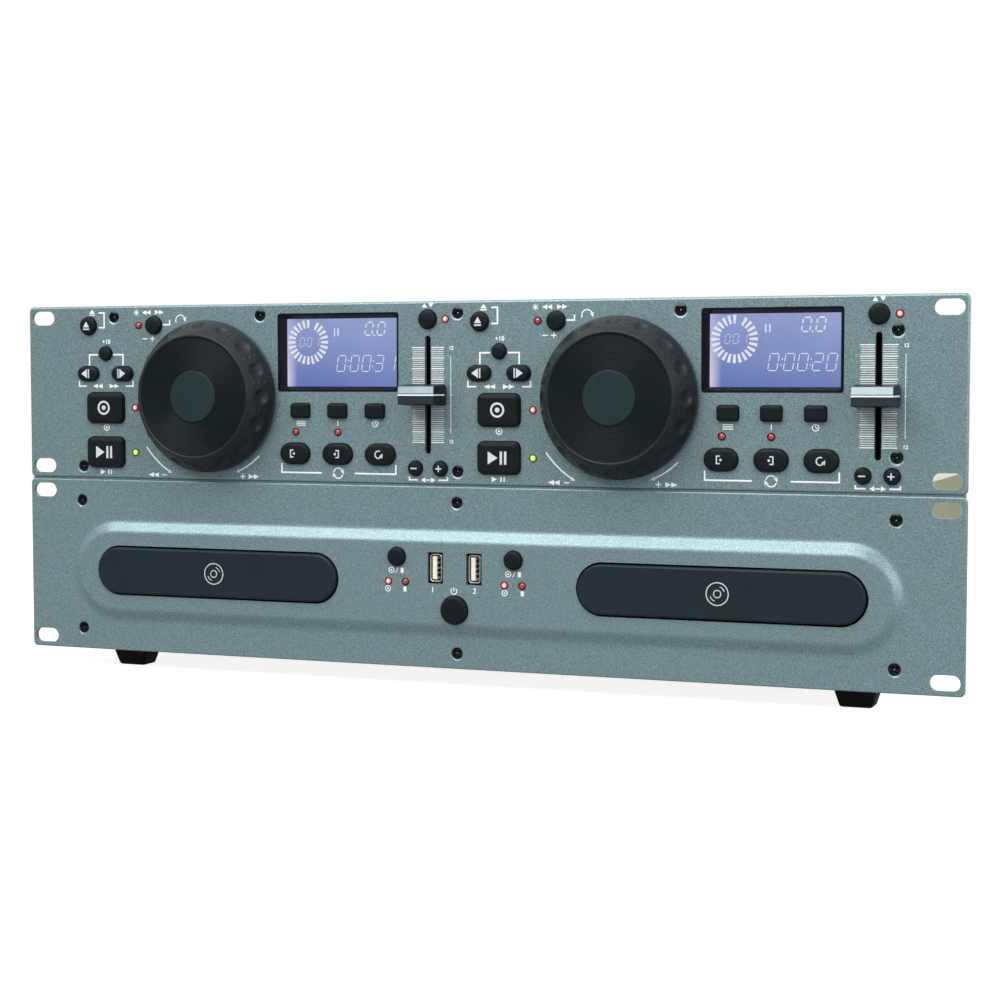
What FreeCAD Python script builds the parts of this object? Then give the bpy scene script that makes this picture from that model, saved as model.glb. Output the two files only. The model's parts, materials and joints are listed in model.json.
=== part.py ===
import FreeCAD, Part
import math
import os

# Dual disc player for a rack: a control unit above a drive unit, each with its own
# 2U front panel.  Millimetres.  X runs along the panels, Y into the units, Z up.
# The origin is on the standing surface, under the middle of the whole object.

V = FreeCAD.Vector

# ---- Front panels ---------------------------------------------------------
PANEL_W = 482.6            # 19-inch rack panel
PANEL_H = 88.1             # two rack units, less the working gap
PANEL_T = 2.0
PANEL_CORNER_R = 2.5
PANEL_GAP = 0.8            # between the two front panels
PANEL_LIFT = 9.5           # standing surface to the drive panel's lower edge
RACK_SLOT_W = 13.5
RACK_SLOT_H = 7.2
RACK_SLOT_INSET_X = 8.75   # panel's end to the slots' middle
RACK_SLOT_INSET_Z = 5.95   # panel's long edge to the slots' middle

# ---- Boxes behind the panels ----------------------------------------------
EAR_W = 26.3               # what each panel stands past the boxes, at each end
SHEET_T = 1.2
DRIVE_DEPTH = 235.0
CONTROL_DEPTH = 48.0
DRIVE_STEP = 9.0           # drive box's sides, in from the control box's
BASE_INSET = 2.0           # drive panel's lower edge up to the chassis underside
TOP_INSET = 1.2            # control panel's upper edge down to the case top
CHASSIS_FLANGE = 12.0      # height of the chassis side walls
FRAME_GAP = 3.0            # chassis front window, beside the trays' rails
FRAME_TOP = 12.8
FRAME_BOTTOM = 11.3
VENT_COUNT = 12
VENT_L = 26.0
VENT_W = 3.0
VENT_PITCH = 7.5

# ---- Raised field of the drive panel --------------------------------------
FIELD_H = 51.0             # outline on the flat of the panel; it is as long as the body
FIELD_RISE = 3.0
FIELD_BEVEL = 5.5
FIELD_DROP = 2.65          # field's middle below the panel's middle
FIELD_EASE_R = 7.0         # rounding where the slope meets the flats
FIELD_WALL = 0.5           # the hollow's outline inside the field's, for one sheet thickness

# ---- Screws and the tabs that take them -----------------------------------
SCREW_R = 1.5
SCREW_HEAD_R = 3.0
SCREW_HEAD_H = 1.4
SCREW_RIM = 0.2            # straight edge round the head
SCREW_L = 8.0
CROSS_L = 3.4
CROSS_W = 0.7
CROSS_DEPTH = 0.8
TAB_R = 2.0
TAB_BOSS_L = 4.5
TOP_SCREW_INSET = 4.5      # case walls to the control panel's screws
BOTTOM_SCREW_INSET = 7.0
LEFT_SCREW_INSET = 5.9
RIGHT_SCREW_INSET = 4.75
CORNER_SCREW_INSET_Z = 10.85   # drive panel's long edges to its corner screws
MIDDLE_SCREW_INSET_Z = 7.65    # and to the two screws in the middle

# ---- Clearances -------------------------------------------------------------
SCREW_GAP = 0.05           # all round a screw
KEY_GAP = 0.3              # all round a key, in its panel hole
LAMP_GAP = 0.1
WINDOW_GAP = 0.15
RUNNING_GAP = 0.3          # sliding parts against their guides
SHAFT_GAP = 0.05           # radial, at each turning shaft
STOP_GAP = 0.1             # left at the end of a key's travel

# ---- Keys -------------------------------------------------------------------
KEY_PROUD = 2.5
KEY_EDGE_R = 0.8
KEY_LIP = 0.8              # ears behind the panel, beyond the cap's edges
KEY_LIP_T = 1.2
KEY_TRAVEL = 1.0
KEY_STEM_R = 1.2
ROUND_KEY_D = 9.1
SMALL_ROUND_D = 7.3
PILL_W = 12.0
PILL_H = 7.3
LONG_PILL_W = 15.9
LONG_PILL_H = 10.3
BIG_KEY_W = 21.5
BIG_KEY_H = 15.6
BIG_KEY_R = 3.0
SMALL_KEY_W = 9.9
SMALL_KEY_H = 7.0
SMALL_KEY_R = 1.2
POWER_D = 13.8
POWER_TRAVEL = 2.5
SWITCH_SIDE = 6.0
SWITCH_H = 3.5
PLUNGER_R = 1.6
PLUNGER_H = 0.8

# ---- Decks on the control panel --------------------------------------------
DECK_SPREAD = 1.8          # deck pitch, beyond half the body's width
BOARD_DEPTH = 16.0         # panel back to the control board
BOARD_T = 1.6
BOARD_MARGIN = 3.0         # board edge to the case wall
STANDOFF_R = 3.0

# ---- Jog wheels --------------------------------------------------------------
JOG_ACROSS = -0.122        # share of the deck's width, from its middle
JOG_UP = -0.023            # share of the panel's height, from its middle
JOG_R = 38.0
JOG_RIM_R = 31.0
JOG_DISC_R = 29.5
JOG_CAP_R = 12.6
JOG_PROUD = 17.0
JOG_LIFT = 1.2             # panel to the wheel's lower edge
JOG_SKIRT = 3.0            # straight edge at the foot of the flank
JOG_DISC_DROP = 0.6        # disc's face below the cap and the rim
JOG_STEP_RUN = 0.4         # slope between those faces
JOG_RIM_BEVEL = 0.8
JOG_WALL = 2.5
JOG_HUB_R = 9.0
JOG_POST_R = 4.0
JOG_POST_PROUD = 12.0
JOG_FLANGE_R = 14.0
JOG_FLANGE_T = 3.0
JOG_ENCODER_R = 10.0
DIMPLE_COUNT = 16
DIMPLE_R = 3.5
DIMPLE_DEPTH = 1.1

# ---- Displays ------------------------------------------------------------------
DISPLAY_ACROSS = 0.2085
DISPLAY_W = 65.7
DISPLAY_TOP = 5.0          # panel's upper edge to the display opening
DISPLAY_KEY_GAP = 5.75     # display opening to the row of small keys below it
DISPLAY_R = 1.5
DISPLAY_LIP = 1.2
DISPLAY_DEPTH = 9.0
GLASS_INSET = 2.62         # opening's edge to the lit area, deep in its frame
GLASS_SINK = 3.6           # behind the panel's back

# ---- Pitch faders ----------------------------------------------------------------
FADER_ACROSS = 0.431
FADER_UP = -0.01
FADER_SLOT_W = 3.0
FADER_SLOT_INSET = 15.6    # panel's long edges to the slot's ends
FADER_SLOT_END = 2.15      # left of the slot at each end of the travel
FADER_BASE_W = 20.0
FADER_BASE_H = 10.5
FADER_FACE_W = 18.5
FADER_FACE_H = 8.8
FADER_PROUD = 15.0
FADER_LIFT = 1.2
FADER_GROOVE_R = 1.0
FADER_BLADE_H = 7.0
FADER_SHOE_W = 6.4
FADER_SHOE_T = 3.0
FADER_BODY_W = 10.4
FADER_BODY_END = 1.5       # fader's body beyond the slot's ends
FADER_BODY_GAP = 3.0       # panel back to the fader's body
FADER_FLOOR = 4.0

# ---- Lamps -----------------------------------------------------------------------
LAMP_R = 1.5
LAMP_PROUD = 0.9
LAMP_LIP = 0.4
LAMP_LIP_T = 1.0
LAMP_L = 4.0

# ---- Disc loaders ------------------------------------------------------------------
TRAY_INSET = 84.65         # body's side to the tray's middle
TRAY_DROP = 2.3            # tray middle below the panel's middle
TRAY_HOLE_W = 137.4
TRAY_HOLE_H = 25.5
TRAY_FRONT_GAP = 0.9
TRAY_FRONT_PROUD = 1.8     # beyond the raised field
TRAY_FRONT_T = 6.0
TRAY_EDGE_R = 1.3
TRAY_W = 126.0
TRAY_T = 6.5
TRAY_L = 156.0
TRAY_RAIL = 1.4
TRAY_RAIL_H = 3.0
DISC_R = 60.0
DISC_GAP = 0.8
DISC_RECESS = 2.4
SMALL_DISC_R = 40.0
SMALL_DISC_RECESS = 3.4
DISC_BACK = 68.0           # panel face to the disc's middle
SPINDLE_SLOT_W = 34.0
LOADER_GAP = 4.0           # panel face to the loader frame
LOADER_L = 168.0
LOADER_WALL = 3.0
HUB_CLEAR = 2.4            # lowered hub to the underside of the closed tray
LOADER_TOP_GAP = 5.0       # tray top to the top of the loader's walls
LOADER_LEG_R = 5.0
CLAMP_BAR = 22.0
CLAMP_R = 14.0
CLAMP_T = 3.0
MOTOR_R = 12.0
MOTOR_H = 9.0
SPINDLE_R = 1.5
SPINDLE_DEPTH = 6.0
HUB_R = 13.0
HUB_T = 2.0
NOSE_R = 7.3
NOSE_H = 1.6
NOSE_TAPER = 1.0

# ---- Sockets on the drive panel -------------------------------------------------
SOURCE_X = 30.2
SOURCE_DZ = 9.8
SOURCE_LAMP_X = 30.2
SOURCE_LAMP_HALF = 4.5
SOURCE_LAMP_DZ = -2.25
POWER_DZ = -15.15
USB_X = 10.0
USB_DZ = 4.85
USB_HOLE_W = 8.0
USB_HOLE_H = 15.2
USB_HOLE_R = 0.4
USB_SINK = 0.8             # raised field to the shell's mouth
USB_MOUTH_W = 5.12
USB_MOUTH_H = 12.5
USB_WALL = 0.5
USB_DEPTH = 14.0
USB_TONGUE_T = 2.2
USB_TONGUE_H = 11.1
USB_TONGUE_L = 11.3
USB_TONGUE_SHIFT = 0.7
FRONT_BOARD_W = 84.0

# ---- Rear sockets ------------------------------------------------------------------
INLET_INSET = 55.0         # body's side to the inlet's middle
INLET_RAISE = 30.0         # chassis underside to the inlet's middle
INLET_W = 27.4
INLET_H = 19.8
INLET_WALL = 1.6
INLET_R = 1.0
INLET_LIP_R = 2.0
INLET_LIP = 2.4
INLET_LIP_T = 1.5
INLET_DEPTH = 16.0
BLADE_W = 2.0
BLADE_H = 4.0
BLADE_L = 13.0
BLADE_PITCH = 7.0
BLADE_RAISE = 2.0
JACK_INSET = 105.0         # body's side to the middle of the block of output jacks
JACK_COLUMNS = 3
JACK_PITCH_X = 17.0
JACK_PITCH_Z = 15.0
JACK_RAISE = 38.0          # chassis underside to the block's middle
JACK_R = 4.15
JACK_PROUD = 9.0
JACK_BORE_R = 1.6
JACK_BORE_DEPTH = 8.0
JACK_BLOCK_T = 12.0
LINK_X = 20.0
LINK_R = 6.6
LINK_PROUD = 0.6
LINK_BLOCK = 16.0
LINK_PIN_R = 0.6
LINK_PIN_RING_R = 3.4
LINK_PINS = 5
MAIN_BOARD_MARGIN = 12.0   # board beyond the blocks of sockets on it
MAIN_BOARD_L = 54.0
MAIN_BOARD_RAISE = 10.0

# ---- Feet -----------------------------------------------------------------------------
FOOT_INSET = 24.7          # body's side to the feet's middle
FOOT_BACK = 20.0           # panel face to the front feet's middle
FOOT_TIP_W = 15.1
FOOT_TIP_L = 12.0
FOOT_TOP_W = 21.6
FOOT_TOP_L = 18.5
FOOT_CORNER_R = 2.0

# ---- Levels worked out from the sizes above --------------------------------------------
BODY_W = PANEL_W - 2 * EAR_W
DRIVE_HALF = BODY_W / 2 - DRIVE_STEP
RACK_PITCH_X = PANEL_W - 2 * RACK_SLOT_INSET_X
RACK_PITCH_Z = PANEL_H - 2 * RACK_SLOT_INSET_Z
DECK_W = BODY_W / 2 + DECK_SPREAD
OVERALL_DEPTH = JOG_PROUD + PANEL_T + DRIVE_DEPTH + JACK_PROUD
FRONT = JOG_PROUD - OVERALL_DEPTH / 2
BACK = FRONT + PANEL_T
FIELD_FACE = FRONT - FIELD_RISE
FIELD_BACK = FIELD_FACE + PANEL_T
REAR = BACK + DRIVE_DEPTH
CONTROL_REAR = BACK + CONTROL_DEPTH
DRIVE_MID = PANEL_LIFT + PANEL_H / 2
CONTROL_MID = DRIVE_MID + PANEL_H + PANEL_GAP
SEAM = PANEL_LIFT + PANEL_H + PANEL_GAP / 2
UNDERSIDE = PANEL_LIFT + BASE_INSET
FLOOR = UNDERSIDE + SHEET_T
CASE_TOP = CONTROL_MID + PANEL_H / 2 - TOP_INSET
BOARD_FACE = BACK + BOARD_DEPTH
SWITCH_FACE = BOARD_FACE - SWITCH_H
TRAY_MID = DRIVE_MID - TRAY_DROP
TRAY_TOP = TRAY_MID + TRAY_T / 2
DISC_Y = FRONT + DISC_BACK
LOADER_BASE = (TRAY_MID - TRAY_T / 2 - HUB_CLEAR - NOSE_H - HUB_T - RUNNING_GAP - MOTOR_H
               - LOADER_WALL)
TRAY_X = BODY_W / 2 - TRAY_INSET
FOOT_X = BODY_W / 2 - FOOT_INSET
INLET_X = INLET_INSET - BODY_W / 2
JACK_X = BODY_W / 2 - JACK_INSET
FADER_SLOT_L = PANEL_H - 2 * FADER_SLOT_INSET
FADER_TRAVEL = (FADER_SLOT_L - FADER_BLADE_H) / 2 - FADER_SLOT_END

DECKS = {"left": -DECK_W / 2, "right": DECK_W / 2}
TRAYS = {"left": -TRAY_X, "right": TRAY_X}

# Width, height and corner radius of each form of key cap.
KEY_FORMS = {
    "round": (ROUND_KEY_D, ROUND_KEY_D, ROUND_KEY_D / 2),
    "small_round": (SMALL_ROUND_D, SMALL_ROUND_D, SMALL_ROUND_D / 2),
    "pill": (PILL_W, PILL_H, PILL_H / 2),
    "long_pill": (LONG_PILL_W, LONG_PILL_H, LONG_PILL_H / 2),
    "big": (BIG_KEY_W, BIG_KEY_H, BIG_KEY_R),
    "small": (SMALL_KEY_W, SMALL_KEY_H, SMALL_KEY_R),
}

# Form and place of each key: shares of the deck's width and of the panel's height,
# from the middle of the deck.
SMALL_KEY_UP = -0.1
DECK_KEYS = {
    "eject": ("round", -0.445, 0.386),
    "jog_mode": ("round", -0.267, 0.386),
    "plus_ten": ("small_round", -0.399, 0.226),
    "track_back": ("pill", -0.446, 0.108),
    "track_forward": ("pill", -0.353, 0.108),
    "cue": ("big", -0.399, -0.09),
    "play": ("big", -0.399, -0.348),
    "program": ("small", 0.116, SMALL_KEY_UP),
    "single": ("small", 0.209, SMALL_KEY_UP),
    "time": ("small", 0.302, SMALL_KEY_UP),
    "loop_in": ("long_pill", 0.102, -0.34),
    "loop_out": ("long_pill", 0.209, -0.34),
    "reloop": ("long_pill", 0.315, -0.34),
    "pitch": ("round", 0.431, 0.402),
    "bend_minus": ("small_round", 0.401, -0.412),
    "bend_plus": ("small_round", 0.461, -0.412),
}
DECK_LAMPS = (
    (-0.309, 0.386), (-0.32, -0.089), (-0.32, -0.348),
    (0.103, -0.22), (0.209, -0.22), (0.473, 0.402),
)

# Control panel's screws: the case wall that carries each one, and its place along that
# wall as a share of the body's width or the panel's height.
CONTROL_SCREWS = (
    ("top", -0.442), ("top", -0.246), ("top", 0.001), ("top", 0.258),
    ("bottom", 0.001), ("left", -0.431), ("right", 0.322), ("right", -0.317),
)
SIDE_SCREW_BACK = (40.0, 120.0, 200.0)

DISPLAY_HIGH = PANEL_H / 2 - DISPLAY_TOP
DISPLAY_LOW = SMALL_KEY_UP * PANEL_H + SMALL_KEY_H / 2 + DISPLAY_KEY_GAP
DISPLAY_H = DISPLAY_HIGH - DISPLAY_LOW
DISPLAY_Z = CONTROL_MID + (DISPLAY_HIGH + DISPLAY_LOW) / 2


# ---- Plain shapes ---------------------------------------------------------------------
def block(x0, x1, y0, y1, z0, z1):
    return Part.makeBox(x1 - x0, y1 - y0, z1 - z0, V(x0, y0, z0))


def outline(cx, cz, w, h, r, y):
    """Rectangle with round corners, in the plane at y; r = h / 2 makes a stadium."""
    arcs = []
    for quarter in range(4):
        sx = 1 if quarter in (0, 3) else -1
        sz = 1 if quarter in (0, 1) else -1
        ox = cx + sx * (w / 2 - r)
        oz = cz + sz * (h / 2 - r)
        angles = [math.pi / 2 * (quarter + step) for step in (0, 0.5, 1)]
        arcs.append([V(ox + r * math.cos(a), y, oz + r * math.sin(a)) for a in angles])
    edges = []
    for number, arc in enumerate(arcs):
        edges.append(Part.Arc(*arc).toShape())
        following = arcs[(number + 1) % 4][0]
        if arc[2].distanceToPoint(following) > 1e-6:
            edges.append(Part.makeLine(arc[2], following))
    return Part.Wire(edges)


def slab(cx, cz, w, h, r, y0, y1):
    return Part.Face(outline(cx, cz, w, h, r, y0)).extrude(V(0, y1 - y0, 0))


def rod(cx, cz, r, y0, y1):
    return Part.makeCylinder(r, y1 - y0, V(cx, y0, cz), V(0, 1, 0))


def post(x, y, r, z0, z1):
    return Part.makeCylinder(r, z1 - z0, V(x, y, z0))


def turned(cx, cz, profile):
    """Solid of revolution about the Y line through (cx, cz); profile is (radius, y)."""
    corners = [V(cx + r, y, cz) for r, y in profile]
    face = Part.Face(Part.makePolygon(corners + corners[:1]))
    return face.revolve(V(cx, 0, cz), V(0, 1, 0), 360)


def eased(shape, y, r, reach=math.inf):
    """Round every edge that lies in the plane at y, no further than reach from the middle."""
    edges = [e for e in shape.Edges if all(abs(v.Y - y) < 1e-6 and abs(v.X) <= reach for v in e.Vertexes)
             and abs(e.CenterOfMass.y - y) < 1e-6]
    return shape.makeFillet(r, edges)


def screw_body(place, axis, extra):
    """Countersunk screw from its head's face along the axis; extra widens it for a seat."""
    head = SCREW_HEAD_R + extra
    shank = SCREW_R + extra
    profile = [(0, -extra), (head, -extra), (head, SCREW_RIM), (shank, SCREW_HEAD_H),
               (shank, SCREW_L + extra), (0, SCREW_L + extra)]
    shape = turned(0, 0, profile)
    shape.Placement = FreeCAD.Placement(place, FreeCAD.Rotation(V(0, 1, 0), axis))
    return shape


def screw(place, axis):
    cross = block(-CROSS_L / 2, CROSS_L / 2, 0, CROSS_DEPTH, -CROSS_W / 2, CROSS_W / 2)
    cross = cross.fuse(block(-CROSS_W / 2, CROSS_W / 2, 0, CROSS_DEPTH, -CROSS_L / 2, CROSS_L / 2))
    cross.Placement = FreeCAD.Placement(place, FreeCAD.Rotation(V(0, 1, 0), axis))
    return screw_body(place, axis, 0).cut(cross)


def rack_slots(mid):
    return [slab(sx * RACK_PITCH_X / 2, mid + sz * RACK_PITCH_Z / 2, RACK_SLOT_W, RACK_SLOT_H,
                 RACK_SLOT_H / 2, FRONT, BACK) for sx in (-1, 1) for sz in (-1, 1)]


def save(name, *shapes):
    shape = shapes[0] if len(shapes) == 1 else Part.makeCompound(list(shapes))
    shape.exportStep(os.path.join("parts", name + ".step"))


# ---- Places -------------------------------------------------------------------------------
def on_deck(deck_x, across, up):
    """Middle of a piece on a deck, from its shares of the deck's width and the panel's height."""
    return deck_x + across * DECK_W, CONTROL_MID + up * PANEL_H


def control_screws():
    """Wall, X and Z of each screw of the control panel."""
    for wall, share in CONTROL_SCREWS:
        x, z = share * BODY_W, CONTROL_MID + share * PANEL_H
        if wall == "top":
            z = CASE_TOP - TOP_SCREW_INSET
        elif wall == "bottom":
            z = SEAM + BOTTOM_SCREW_INSET
        elif wall == "left":
            x = LEFT_SCREW_INSET - BODY_W / 2
        else:
            x = BODY_W / 2 - RIGHT_SCREW_INSET
        yield wall, x, z


def control_screw_places():
    return [V(x, FRONT, z) for wall, x, z in control_screws()]


def drive_screw_places():
    x = BODY_W / 2 - RIGHT_SCREW_INSET
    corner, middle = PANEL_H / 2 - CORNER_SCREW_INSET_Z, PANEL_H / 2 - MIDDLE_SCREW_INSET_Z
    spots = [(sx * x, sz * corner) for sx in (-1, 1) for sz in (-1, 1)] + [(0, middle), (0, -middle)]
    return [V(x, FRONT, DRIVE_MID + dz) for x, dz in spots]


def side_screw_places():
    level = UNDERSIDE + CHASSIS_FLANGE / 2
    return [(V(side * DRIVE_HALF, BACK + back, level), V(-side, 0, 0))
            for side in (-1, 1) for back in SIDE_SCREW_BACK]


# ---- Control unit ----------------------------------------------------------------------------
def key_places():
    """Name, middle, cap size and corner of every key on both decks."""
    for deck, deck_x in DECKS.items():
        for key_name, (form, across, up) in DECK_KEYS.items():
            x, z = on_deck(deck_x, across, up)
            yield deck + "_" + key_name, x, z, KEY_FORMS[form]


def lamp_places():
    control = [on_deck(deck_x, across, up) + (FRONT,) for deck_x in DECKS.values()
               for across, up in DECK_LAMPS]
    drive = [(side * SOURCE_LAMP_X + half * SOURCE_LAMP_HALF, DRIVE_MID + SOURCE_LAMP_DZ, FIELD_FACE)
             for side in (-1, 1) for half in (-1, 1)]
    return control + drive


def control_panel():
    cuts = rack_slots(CONTROL_MID)
    for name, x, z, (w, h, r) in key_places():
        cuts.append(slab(x, z, w + 2 * KEY_GAP, h + 2 * KEY_GAP, r + KEY_GAP, FRONT, BACK))
    for x, z, face in lamp_places():
        if face == FRONT:
            cuts.append(rod(x, z, LAMP_R + LAMP_GAP, FRONT, BACK))
    for deck_x in DECKS.values():
        cuts.append(rod(*on_deck(deck_x, JOG_ACROSS, JOG_UP), JOG_POST_R + KEY_GAP, FRONT, BACK))
        cuts.append(slab(deck_x + DISPLAY_ACROSS * DECK_W, DISPLAY_Z, DISPLAY_W, DISPLAY_H, DISPLAY_R,
                         FRONT, BACK))
        cuts.append(slab(*on_deck(deck_x, FADER_ACROSS, FADER_UP), FADER_SLOT_W, FADER_SLOT_L,
                         FADER_SLOT_W / 2, FRONT, BACK))
    cuts += [screw_body(place, V(0, 1, 0), SCREW_GAP) for place in control_screw_places()]
    plate = slab(0, CONTROL_MID, PANEL_W, PANEL_H, PANEL_CORNER_R, FRONT, BACK)
    return plate.cut(cuts)


def control_case():
    """Folded box open at the front, with screw tabs, board standoffs and a socket hole."""
    half = BODY_W / 2
    inner = half - SHEET_T
    shell = block(-half, half, BACK, CONTROL_REAR, SEAM, CASE_TOP)
    shell = shell.cut(block(-inner, inner, BACK, CONTROL_REAR - SHEET_T, SEAM + SHEET_T, CASE_TOP - SHEET_T))
    extras = []
    for wall, x, z in control_screws():
        x0, x1, z0, z1 = x - TAB_R, x + TAB_R, z - TAB_R, z + TAB_R
        if wall == "top":
            z1 = CASE_TOP - SHEET_T / 2
        elif wall == "bottom":
            z0 = SEAM + SHEET_T / 2
        elif wall == "left":
            x0 = SHEET_T / 2 - half
        else:
            x1 = half - SHEET_T / 2
        extras.append(block(x0, x1, BACK, BACK + SHEET_T, z0, z1))
        extras.append(rod(x, z, TAB_R, BACK, BACK + TAB_BOSS_L))
    for x, z in standoff_places():
        extras.append(rod(x, z, STANDOFF_R, BOARD_FACE + BOARD_T, CONTROL_REAR - SHEET_T / 2))
    cuts = [screw_body(place, V(0, 1, 0), SCREW_GAP) for place in control_screw_places()]
    cuts.append(rod(LINK_X, CONTROL_MID, LINK_R + SCREW_GAP, CONTROL_REAR - SHEET_T, CONTROL_REAR))
    return shell.fuse(extras).cut(cuts)


def board_rim():
    half = BODY_W / 2 - SHEET_T - BOARD_MARGIN
    return half, SEAM + SHEET_T + BOARD_MARGIN, CASE_TOP - SHEET_T - BOARD_MARGIN


def standoff_places():
    half, low, high = board_rim()
    return [(x, z) for x in (2 * STANDOFF_R - half, 0, half - 2 * STANDOFF_R)
            for z in (low + 2 * STANDOFF_R, high - 2 * STANDOFF_R)]


def key_switch(x, z):
    side = SWITCH_SIDE / 2
    body = block(x - side, x + side, SWITCH_FACE, BOARD_FACE, z - side, z + side)
    return body.fuse(rod(x, z, PLUNGER_R, SWITCH_FACE - PLUNGER_H, SWITCH_FACE))


def link_socket(x, z, y0, rear):
    """Round link socket on its block, its face just outside the rear wall."""
    side = LINK_BLOCK / 2
    wall = rear - SHEET_T
    body = block(x - side, x + side, y0, wall, z - side, z + side)
    body = body.fuse(rod(x, z, LINK_R, wall, rear + LINK_PROUD))
    pins = []
    for number in range(LINK_PINS):
        angle = 2 * math.pi * number / LINK_PINS
        pins.append(rod(x + LINK_PIN_RING_R * math.cos(angle), z + LINK_PIN_RING_R * math.sin(angle),
                        LINK_PIN_R, wall, rear + LINK_PROUD))
    return body.cut(pins)


def control_board():
    """Circuit board with its key switches and its link socket."""
    half, low, high = board_rim()
    board = block(-half, half, BOARD_FACE, BOARD_FACE + BOARD_T, low, high)
    switches = [key_switch(x, z) for name, x, z, size in key_places()]
    return board.fuse(switches + [link_socket(LINK_X, CONTROL_MID, BOARD_FACE + BOARD_T, CONTROL_REAR)])


def key(x, z, form, face, back, travel, plunger_face, ears_level=False):
    """Key cap with a stem that ends short of its switch, and two ears behind the panel."""
    w, h, r = form
    cap = eased(slab(x, z, w, h, r, face - KEY_PROUD, back), face - KEY_PROUD, KEY_EDGE_R)
    ear_w, ear_h = (KEY_LIP, -KEY_EDGE_R) if ears_level else (-KEY_EDGE_R, KEY_LIP)
    lip = slab(x, z, w + 2 * ear_w, h + 2 * ear_h, KEY_EDGE_R, back, back + KEY_LIP_T)
    stem = rod(x, z, KEY_STEM_R, back, plunger_face - travel - STOP_GAP)
    return cap.fuse([lip, stem])


def lamp(x, z, face):
    """Round lamp: domed end in front, collar against the back of the panel."""
    shape = eased(rod(x, z, LAMP_R, face - LAMP_PROUD, face + PANEL_T + LAMP_L), face - LAMP_PROUD,
                  LAMP_PROUD)
    collar = rod(x, z, LAMP_R + LAMP_LIP, face + PANEL_T, face + PANEL_T + LAMP_LIP_T)
    return shape.fuse(collar)


def display_module(deck_x):
    x, z = deck_x + DISPLAY_ACROSS * DECK_W, DISPLAY_Z
    body = slab(x, z, DISPLAY_W + 2 * DISPLAY_LIP, DISPLAY_H + 2 * DISPLAY_LIP, DISPLAY_R + DISPLAY_LIP,
                BACK, BACK + DISPLAY_DEPTH)
    return body.cut(slab(x, z, DISPLAY_W - 2 * GLASS_INSET, DISPLAY_H - 2 * GLASS_INSET, DISPLAY_R,
                         BACK, BACK + GLASS_SINK))


def display_window(deck_x):
    return slab(deck_x + DISPLAY_ACROSS * DECK_W, DISPLAY_Z, DISPLAY_W - 2 * WINDOW_GAP,
                DISPLAY_H - 2 * WINDOW_GAP, DISPLAY_R - WINDOW_GAP, FRONT, BACK)


def jog_post(deck_x):
    """Encoder body on the board, flange behind the panel and the post the wheel turns on."""
    flange = BACK + JOG_FLANGE_T
    profile = [(0, FRONT - JOG_POST_PROUD), (JOG_POST_R, FRONT - JOG_POST_PROUD), (JOG_POST_R, BACK),
               (JOG_FLANGE_R, BACK), (JOG_FLANGE_R, flange), (JOG_ENCODER_R, flange),
               (JOG_ENCODER_R, BOARD_FACE), (0, BOARD_FACE)]
    return turned(*on_deck(deck_x, JOG_ACROSS, JOG_UP), profile)


def jog_wheel(deck_x):
    """Hollow wheel on its hub, with finger dimples round the sloping flank."""
    x, z = on_deck(deck_x, JOG_ACROSS, JOG_UP)
    foot = FRONT - JOG_LIFT
    skirt = foot - JOG_SKIRT
    top = FRONT - JOG_PROUD
    face = top + JOG_DISC_DROP
    roof = top + JOG_WALL
    bore = JOG_POST_R + SHAFT_GAP
    bore_end = FRONT - JOG_POST_PROUD - SHAFT_GAP
    profile = [(0, top), (JOG_CAP_R, top), (JOG_CAP_R + JOG_STEP_RUN, face), (JOG_DISC_R, face),
               (JOG_DISC_R + JOG_STEP_RUN, top), (JOG_RIM_R - JOG_RIM_BEVEL, top),
               (JOG_RIM_R, top + JOG_RIM_BEVEL),
               (JOG_R, skirt), (JOG_R, foot), (JOG_R - JOG_WALL, foot), (JOG_R - JOG_WALL, skirt),
               (JOG_RIM_R - JOG_WALL, roof), (JOG_HUB_R, roof), (JOG_HUB_R, foot), (bore, foot),
               (bore, bore_end), (0, bore_end)]
    wheel = turned(x, z, profile)
    slope = math.hypot(JOG_R - JOG_RIM_R, skirt - top)
    out = V((skirt - top) / slope, -(JOG_R - JOG_RIM_R) / slope, 0)
    ball_r = (DIMPLE_R ** 2 + DIMPLE_DEPTH ** 2) / (2 * DIMPLE_DEPTH)
    middle = V((JOG_R + JOG_RIM_R) / 2, (skirt + top) / 2, 0) + out * (ball_r - DIMPLE_DEPTH)
    dimples = []
    for number in range(DIMPLE_COUNT):
        angle = 2 * math.pi * number / DIMPLE_COUNT
        centre = V(x + middle.x * math.cos(angle), middle.y, z + middle.x * math.sin(angle))
        dimples.append(Part.makeSphere(ball_r, centre))
    return wheel.cut(dimples)


def fader_levels():
    """Front of the fader's body, front of its floor and the face of the moving shoe."""
    body = BACK + FADER_BODY_GAP
    floor = BOARD_FACE - FADER_FLOOR
    return body, floor, floor - RUNNING_GAP - FADER_SHOE_T


def fader_track(deck_x):
    x, z = on_deck(deck_x, FADER_ACROSS, FADER_UP)
    body, floor, shoe = fader_levels()
    reach = FADER_TRAVEL + FADER_BLADE_H / 2 + RUNNING_GAP
    half = FADER_BODY_W / 2
    lane = FADER_SHOE_W / 2 + RUNNING_GAP
    end = FADER_SLOT_L / 2 + FADER_BODY_END
    track = block(x - half, x + half, body, BOARD_FACE, z - end, z + end)
    track = track.cut(block(x - lane, x + lane, shoe - RUNNING_GAP, floor, z - reach, z + reach))
    return track.cut(block(x - FADER_SLOT_W / 2, x + FADER_SLOT_W / 2, body, floor, z - reach, z + reach))


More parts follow.
